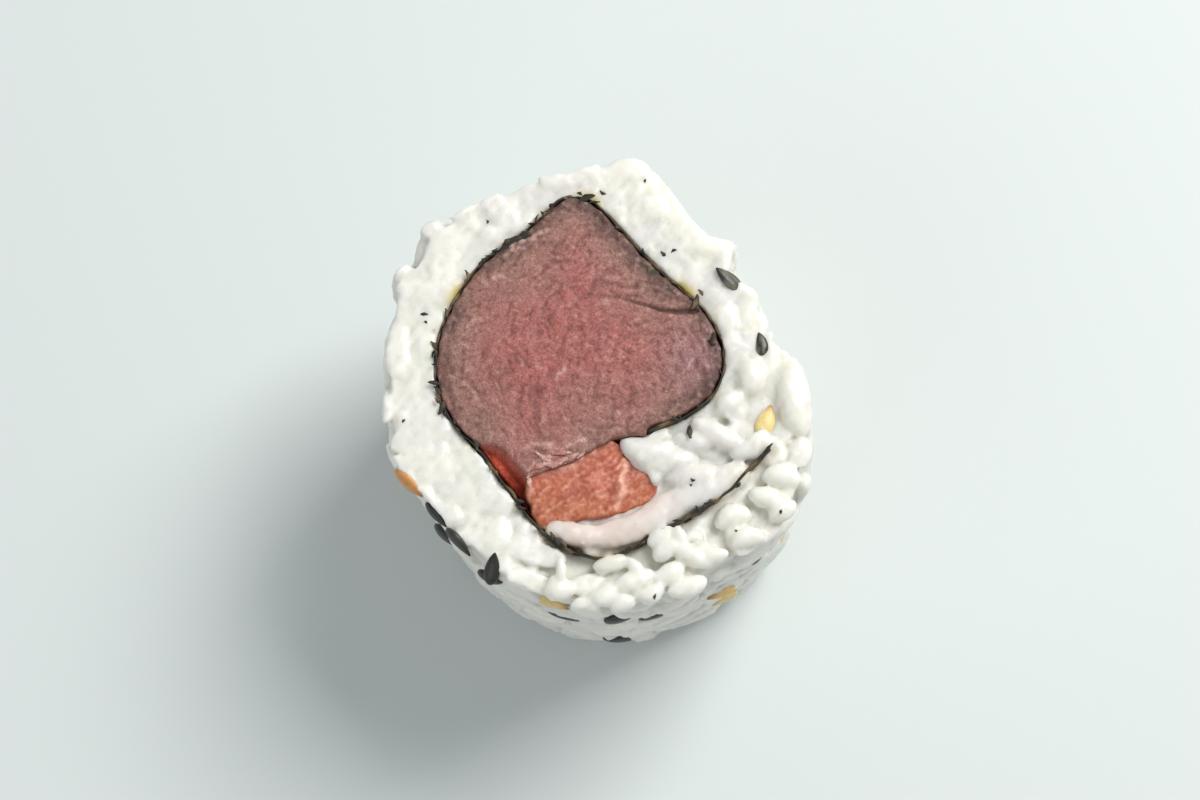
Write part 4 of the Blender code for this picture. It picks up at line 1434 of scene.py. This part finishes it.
# Wisps of pale sinew and dark nicks in the block: middle, length, and turn in degrees.
WISPS = (
    (-6.3, 12.9, 3.0, 12), (-7.6, 12.1, 1.8, 30), (-3.3, 0.3, 0.7, 60), (-2.8, 1.0, 0.5, 100),
    (-9.5, 9.3, 1.4, 40), (-5.2, -6.3, 2.6, 10), (-3.2, -6.8, 2.4, -20), (-4.9, -7.8, 2.2, 30),
    (-1.6, -6.0, 1.8, 20), (-10.8, 5.6, 0.9, 10), (-5.0, 13.8, 1.6, 25),
)
NICKS = (
    (-11.6, 6.6, 1.7, 25), (-2.9, 8.6, 2.6, -30), (2.8, -2.2, 3.0, 38), (-1.6, -3.4, 1.6, 32),
    (5.6, 3.0, 1.2, 70), (2.6, 3.6, 1.4, 35), (-6.6, 1.8, 1.2, -50), (-8.8, -0.6, 1.6, -65),
    (0.6, -0.6, 1.3, 15), (-4.4, 5.4, 1.1, -40), (6.6, -0.8, 1.4, 50), (-0.8, 12.2, 1.2, -60),
    (0.2, 15.2, 1.3, -45), (2.2, 12.8, 1.2, -50), (4.4, 10.4, 1.4, -40), (7.0, 8.0, 1.3, -35),
    (10.2, 3.6, 1.2, -70), (-12.9, 5.4, 1.4, 70), (-13.4, 1.8, 1.2, 95), (-9.6, 10.4, 1.4, 45),
)
# Torn pale shreds of the block along its seam with the strip: middle, length, width, turn, height.
SHREDS = (
    (-5.6, -8.5, 1.6, 0.5, 60, 32.0), (-4.9, -8.1, 1.9, 0.5, 20, 32.15),
    (-3.9, -7.9, 1.5, 0.4, -15, 32.15), (-3.1, -7.7, 1.8, 0.6, 30, 32.2),
    (-2.0, -7.3, 1.7, 0.5, 35, 32.15), (-4.4, -7.3, 2.2, 0.4, -30, 32.22),
    (-1.1, -6.9, 1.3, 0.4, 50, 32.15), (-5.8, -9.5, 1.4, 0.4, 95, 31.9),
    (-2.9, -6.9, 1.9, 0.4, 5, 32.28),
)
CREASE_LINE = ((3.1, -7.6), (2.5, -9.3), (2.8, -10.3), (2.1, -11.7))
CREASE_REACH = 0.45
# The strip's flakes: which way they run, how long and how fine they are.
STRIP_FIBRE_DEG = 34
STRIP_FIBRE = (2.6, 0.38)
# The step down between the strip's two lobes: Y and X of its line, its height and its softness.
STEP_YS = (-11.8, -10.3, -9.0, -7.9)
STEP_XS = (2.1, 2.8, 2.6, 3.0)
STEP_DROP = 0.45
STEP_SOFT = 0.12


def fish_solid(loop, depth_of):
    """A block of fish between the cut faces: its mesh, its upper face's points and its outline."""
    size = len(closed_line(loop, FISH_STEP))
    rings = []
    for z, inset, follow in FISH_RINGS:
        ring = spaced(grown(loop, FISH_REACH - inset), size)
        if follow == 1:
            jag = 0.09 * grainy(ring, 0.8, 11) + 0.05 * waves(ring, 3.0, 12)
            ring = ring + jag[:, None] * sideways(ring)
        rings.append(raised(ring, z - follow * depth_of(ring)))
    points, faces, top = standing_solid([rings], (FISH_FOOT_STEP, FISH_STEP))
    loose = top[size:]
    points[loose, 2] = HEIGHT - depth_of(points[loose, :2])
    return points, faces, top, rings[0][:, :2]


def hollow_share(points):
    """1 inside the torn hollow, falling to 0 at its edge."""
    near = 1 - distance_to(points, TUNA_HOLLOW_LINE, closed=False) / TUNA_HOLLOW_REACH
    return np.clip(TUNA_HOLLOW_STEEP * near, 0, 1)


def tuna_depth(points):
    """How far below the roll's height the block's cut face lies."""
    crest = TUNA_CREST * np.cos((points - TUNA_CREST_MIDDLE) / TUNA_CREST_REACH).prod(axis=1)
    deepest = TUNA_HOLLOW_DEPTH * np.interp(points[:, 1], (-11.2, -8.2), (1.0, 0.45))
    return deepest * hollow_share(points) - crest


def wisp_share(points, wisps, reach):
    """Where wisps or nicks lie, each a thin bent streak."""
    share = np.zeros(len(points))
    for x, y, length, turn_deg in wisps:
        turn = math.radians(turn_deg)
        half = length / 2 * np.array((math.cos(turn), math.sin(turn)))
        bend = WISP_BEND * length * np.array((-math.sin(turn), math.cos(turn)))
        ends = ((x, y) - half, (x, y) + bend, (x, y) + half)
        share = np.maximum(share, near_line(points, ends, reach))
    return share


def streaky(points):
    """Faint curved fibres round the block's middle."""
    x, y = (points - FIBRE_MIDDLE).T
    radius = np.hypot(x, y) + 0.8 * waves(points, 8.0, 37)
    return grainy(np.column_stack([radius / FIBRE_FINE, FIBRE_ALONG * np.arctan2(y, x)]), 1.0, 39)


def make_tuna():
    """The block: grey and brown towards the upper left, rose in the middle and down to the seam."""
    points, faces, top, loop = fish_solid(LOOPS["tuna"], tuna_depth)
    flat = points[:, :2]
    x, y = flat.T
    crack = near_line(flat, CRACK_LINE, np.interp(x, (5.0, 7.5), (0.22, 0.4)))
    crack *= np.interp(x, (-1, 3, 6), (0.2, 0.45, 1))
    wisps = wisp_share(flat, WISPS, WISP_REACH) * np.clip(0.7 + grainy(flat, 0.5, 3), 0, 1)
    nicks = wisp_share(flat, NICKS, NICK_REACH) * np.clip(0.6 + grainy(flat, 0.7, 4), 0, 1)
    grain = 0.6 * grainy(flat, 0.3, 5) + 0.5 * grainy(flat, 0.7, 7)
    fibre = streaky(flat)
    rough = 0.045 * grain + 0.03 * fibre + 0.07 * waves(flat, 3.2, 14) + 0.08 * wisps
    points[top, 2] += (rough - 0.5 * crack - 0.12 * nicks)[top]

    hollow = hollow_share(flat) * (points[:, 2] > HEIGHT - 4)
    from_edge = distance_to(flat, loop)
    wander = 0.9 * waves(flat, 9.0, 15)
    rose = rising(0.3 * x - y, 1, 6)
    rim = fading(from_edge + 0.4 * wander + 0.35 * grain, 2.2)
    patchy = 0.58 + 0.5 * rising(0.5 * x + 0.5 * y, 3, 6) - 0.4 * rising(y, -1, -5)
    patchy = np.clip(patchy + 0.5 * waves(flat, 3.5, 19), 0.1, 1)
    colours = layered(
        TUNA_CENTRE,
        (TUNA_OUTER, 1, rising(from_edge + wander + 1.5 * rose, 7.5, 1.0)),
        (TUNA_CORNER, 0.8, fading(lengths(flat - CORNER_MIDDLE), CORNER_REACH)),
        (TUNA_RIM_BROWN_AND_SHADE, 1, patchy * rim * (1 - near_line(flat, SEAM_LINE, 3.0))),
        (TUNA_PIT, 0.6, -grain * 1.6 - 0.3),
        (TUNA_PIT, 0.5, -fibre * 1.6 - 0.2),
        (TUNA_PALE, 0.3, grain * 1.6 - 0.4),
        # Painted shade in the crack's groove and in the nicks.
        (TUNA_RIM_BROWN_AND_SHADE, 1, np.maximum(0.9 * crack, 0.6 * nicks)),
        (TUNA_PALE, 0.6, wisps),
        (TUNA_HOLLOW, 1, hollow**0.7),
        # Painted shade in the deep end of the torn hollow.
        (TUNA_HOLLOW_PAINTED_SHADE, 0.7, rising(y, -8.5, -11) * hollow),
    )

    scraps, scrap_faces = shreds(SHREDS)
    pale = layered(TUNA_PALE, (TUNA_CENTRE, 1, 0.55 + 0.5 * waves(scraps, 1.5, 43)))
    points, faces = combined(points, faces, scraps, scrap_faces)
    add_piece(
        mesh_of("tuna_block", twisted(points), faces), np.vstack([colours, pale]), "tuna", "tuna",
        roughness=0.62, scatter=0.1, radius=(0.8, 0.3, 0.2), coat=0.03, mottle=(0.17, 0.42),
        bump=(0.2, 0.045),
    )


def strip_depth(points):
    """How far below the roll's height the strip's cut face lies."""
    beyond = points[:, 0] - np.interp(points[:, 1], STEP_YS, STEP_XS)
    step = STEP_DROP / (1 + np.exp(-beyond / STEP_SOFT))
    return STRIP_DROP - 0.15 * waves(points, 5.0, 19) + step


def strip_fibres(points):
    """Fine flakes of the strip, that run up to the right."""
    turn = math.radians(STRIP_FIBRE_DEG)
    along = points @ (math.cos(turn), math.sin(turn))
    across = points @ (-math.sin(turn), math.cos(turn)) + 0.25 * waves(points, 4.0, 45)
    return grainy(np.column_stack([along, across]) / STRIP_FIBRE, 1.0, 47)


def make_strip():
    """The strip, paler at the seam and along its crease, with painted shade along its outline."""
    points, faces, top, loop = fish_solid(LOOPS["tuna_strip"], strip_depth)
    flat = points[:, :2]
    x, y = flat.T
    crease = distance_to(flat, CREASE_LINE, closed=False) + 0.1 * grainy(flat, 0.6, 49)
    crease = fading(crease, CREASE_REACH)
    seam = near_line(flat, SEAM_LINE, 1.0)
    fibre = strip_fibres(flat)
    fleck = grainy(flat, 0.33, 25)
    points[top, 2] += (0.05 * fleck + 0.07 * fibre + 0.1 * seam + 0.12 * crease)[top]
    colours = layered(
        STRIP_RED,
        (STRIP_ORANGE, 1, rising(0.3 * np.abs(x) - y, 9.5, 13.5)),
        (STRIP_DARK_AND_SHADE, 0.5, -waves(flat, 4.0, 27) - 0.1),
        (STRIP_DARK_AND_SHADE, 0.5, -fibre * 1.5 - 0.2),
        (STRIP_PALE, 0.3, fibre * 1.5 - 0.4),
        (STRIP_DARK_AND_SHADE, 0.45, -fleck * 1.5 - 0.2),
        (STRIP_PALE, 0.35, fleck * 1.5 - 0.5),
        (STRIP_PALE, 1, seam * np.clip(0.5 + grainy(flat, 0.8, 29), 0, 1)),
        (STRIP_PALE, 0.95, crease),
        # Painted shade along the strip's outline, where it meets the nori, the rice and the block.
        (STRIP_DARK_AND_SHADE, 0.4, fading(distance_to(flat, loop), 0.3)),
    )
    add_piece(
        mesh_of("tuna_slice", twisted(points), faces), colours, "tuna_strip", "tuna_strip",
        roughness=0.55, scatter=0.12, radius=(0.9, 0.4, 0.3), coat=0.05, mottle=(0.25, 0.2),
        bump=(0.25, 0.04),
    )


# ---------------- floor, light and camera

# The photograph: its size and focal length in pixels, and where the cut face's origin lies in it.
PHOTO_SIZE = (1200, 800)
PHOTO_FOCAL_PX = 1490
FACE_PX = (524, 331)
FACE_DEPTH = 0.271
TILT_DEG = 10.5
SENSOR = 36.0
# How much closer the render frames the piece than the photograph does.
FRAMING = 2.0
# How high on the piece the camera looks, as a share of its height.
TARGET_SHARE = 0.7
CLIP_START = 0.01
FLOOR_HALF = 1.5
FLOOR_PALE = (216, 222, 220)
# Square lights: place, side, power and colour. All look at the origin.
LIGHTS = {
    "window": ((0.35, 0.3, 0.55), 0.35, 4.8, (1.0, 1.0, 0.98)),
    "fill": ((-0.5, -0.4, 0.5), 0.6, 1.2, (0.95, 0.98, 1.0)),
}
WORLD_COLOUR = (0.8, 0.84, 0.88, 1)
WORLD_STRENGTH = 0.43


def make_floor():
    corners = np.array([(-1, -1, 0), (1, -1, 0), (1, 1, 0), (-1, 1, 0)]) * FLOOR_HALF
    data = mesh_of("floor", corners, [(0, 1, 2, 3)])
    settings = {"Base Color": (*linear(FLOOR_PALE), 1), "Roughness": 0.6}
    data.materials.append(new_material("floor", settings))
    floor = new_object("floor", data)


def make_lights():
    for name, (place, side, power, colour) in LIGHTS.items():
        data = bpy.data.lights.new(name, "AREA")
        data.size = side
        data.energy = power
        data.color = colour
        light = new_object(name, data)
        light.location = place
        light.rotation_euler = (-Vector(place)).to_track_quat("-Z", "Y").to_euler()
    world = bpy.data.worlds.new("world")
    world.use_nodes = True
    background = world.node_tree.nodes["Background"]
    background.inputs["Color"].default_value = WORLD_COLOUR
    background.inputs["Strength"].default_value = WORLD_STRENGTH
    bpy.context.scene.world = world
    bpy.context.scene.view_settings.view_transform = "Standard"


def make_camera():
    """The camera where the photograph's was, turned to the piece and framing it closer."""
    tilt = math.radians(TILT_DEG)
    ahead = Vector((0, math.sin(tilt), -math.cos(tilt)))
    upward = Vector((0, math.cos(tilt), math.sin(tilt)))
    aside = Vector((1, 0, 0))
    across = (FACE_PX[0] - PHOTO_SIZE[0] / 2) / PHOTO_FOCAL_PX
    above = (PHOTO_SIZE[1] / 2 - FACE_PX[1]) / PHOTO_FOCAL_PX
    face = Vector(to_row([[0, 0, HEIGHT]])[0])
    place = face - FACE_DEPTH * (ahead + across * aside + above * upward)
    target = Vector((0, 0, HEIGHT * MM * TARGET_SHARE))
    data = bpy.data.cameras.new("camera")
    data.sensor_width = SENSOR
    data.lens = FRAMING * PHOTO_FOCAL_PX / PHOTO_SIZE[0] * SENSOR
    data.clip_start = CLIP_START
    camera = new_object("camera", data)
    camera.location = place
    back = (place - target).normalized()
    right = upward.cross(back).normalized()
    camera.rotation_euler = Matrix((right, back.cross(right), back)).transposed().to_euler()
    bpy.context.scene.camera = camera


rice_surface = make_rice()
make_seeds(rice_surface)
make_nori(rice_surface)
make_tuna()
make_strip()
make_floor()
make_lights()
make_camera()
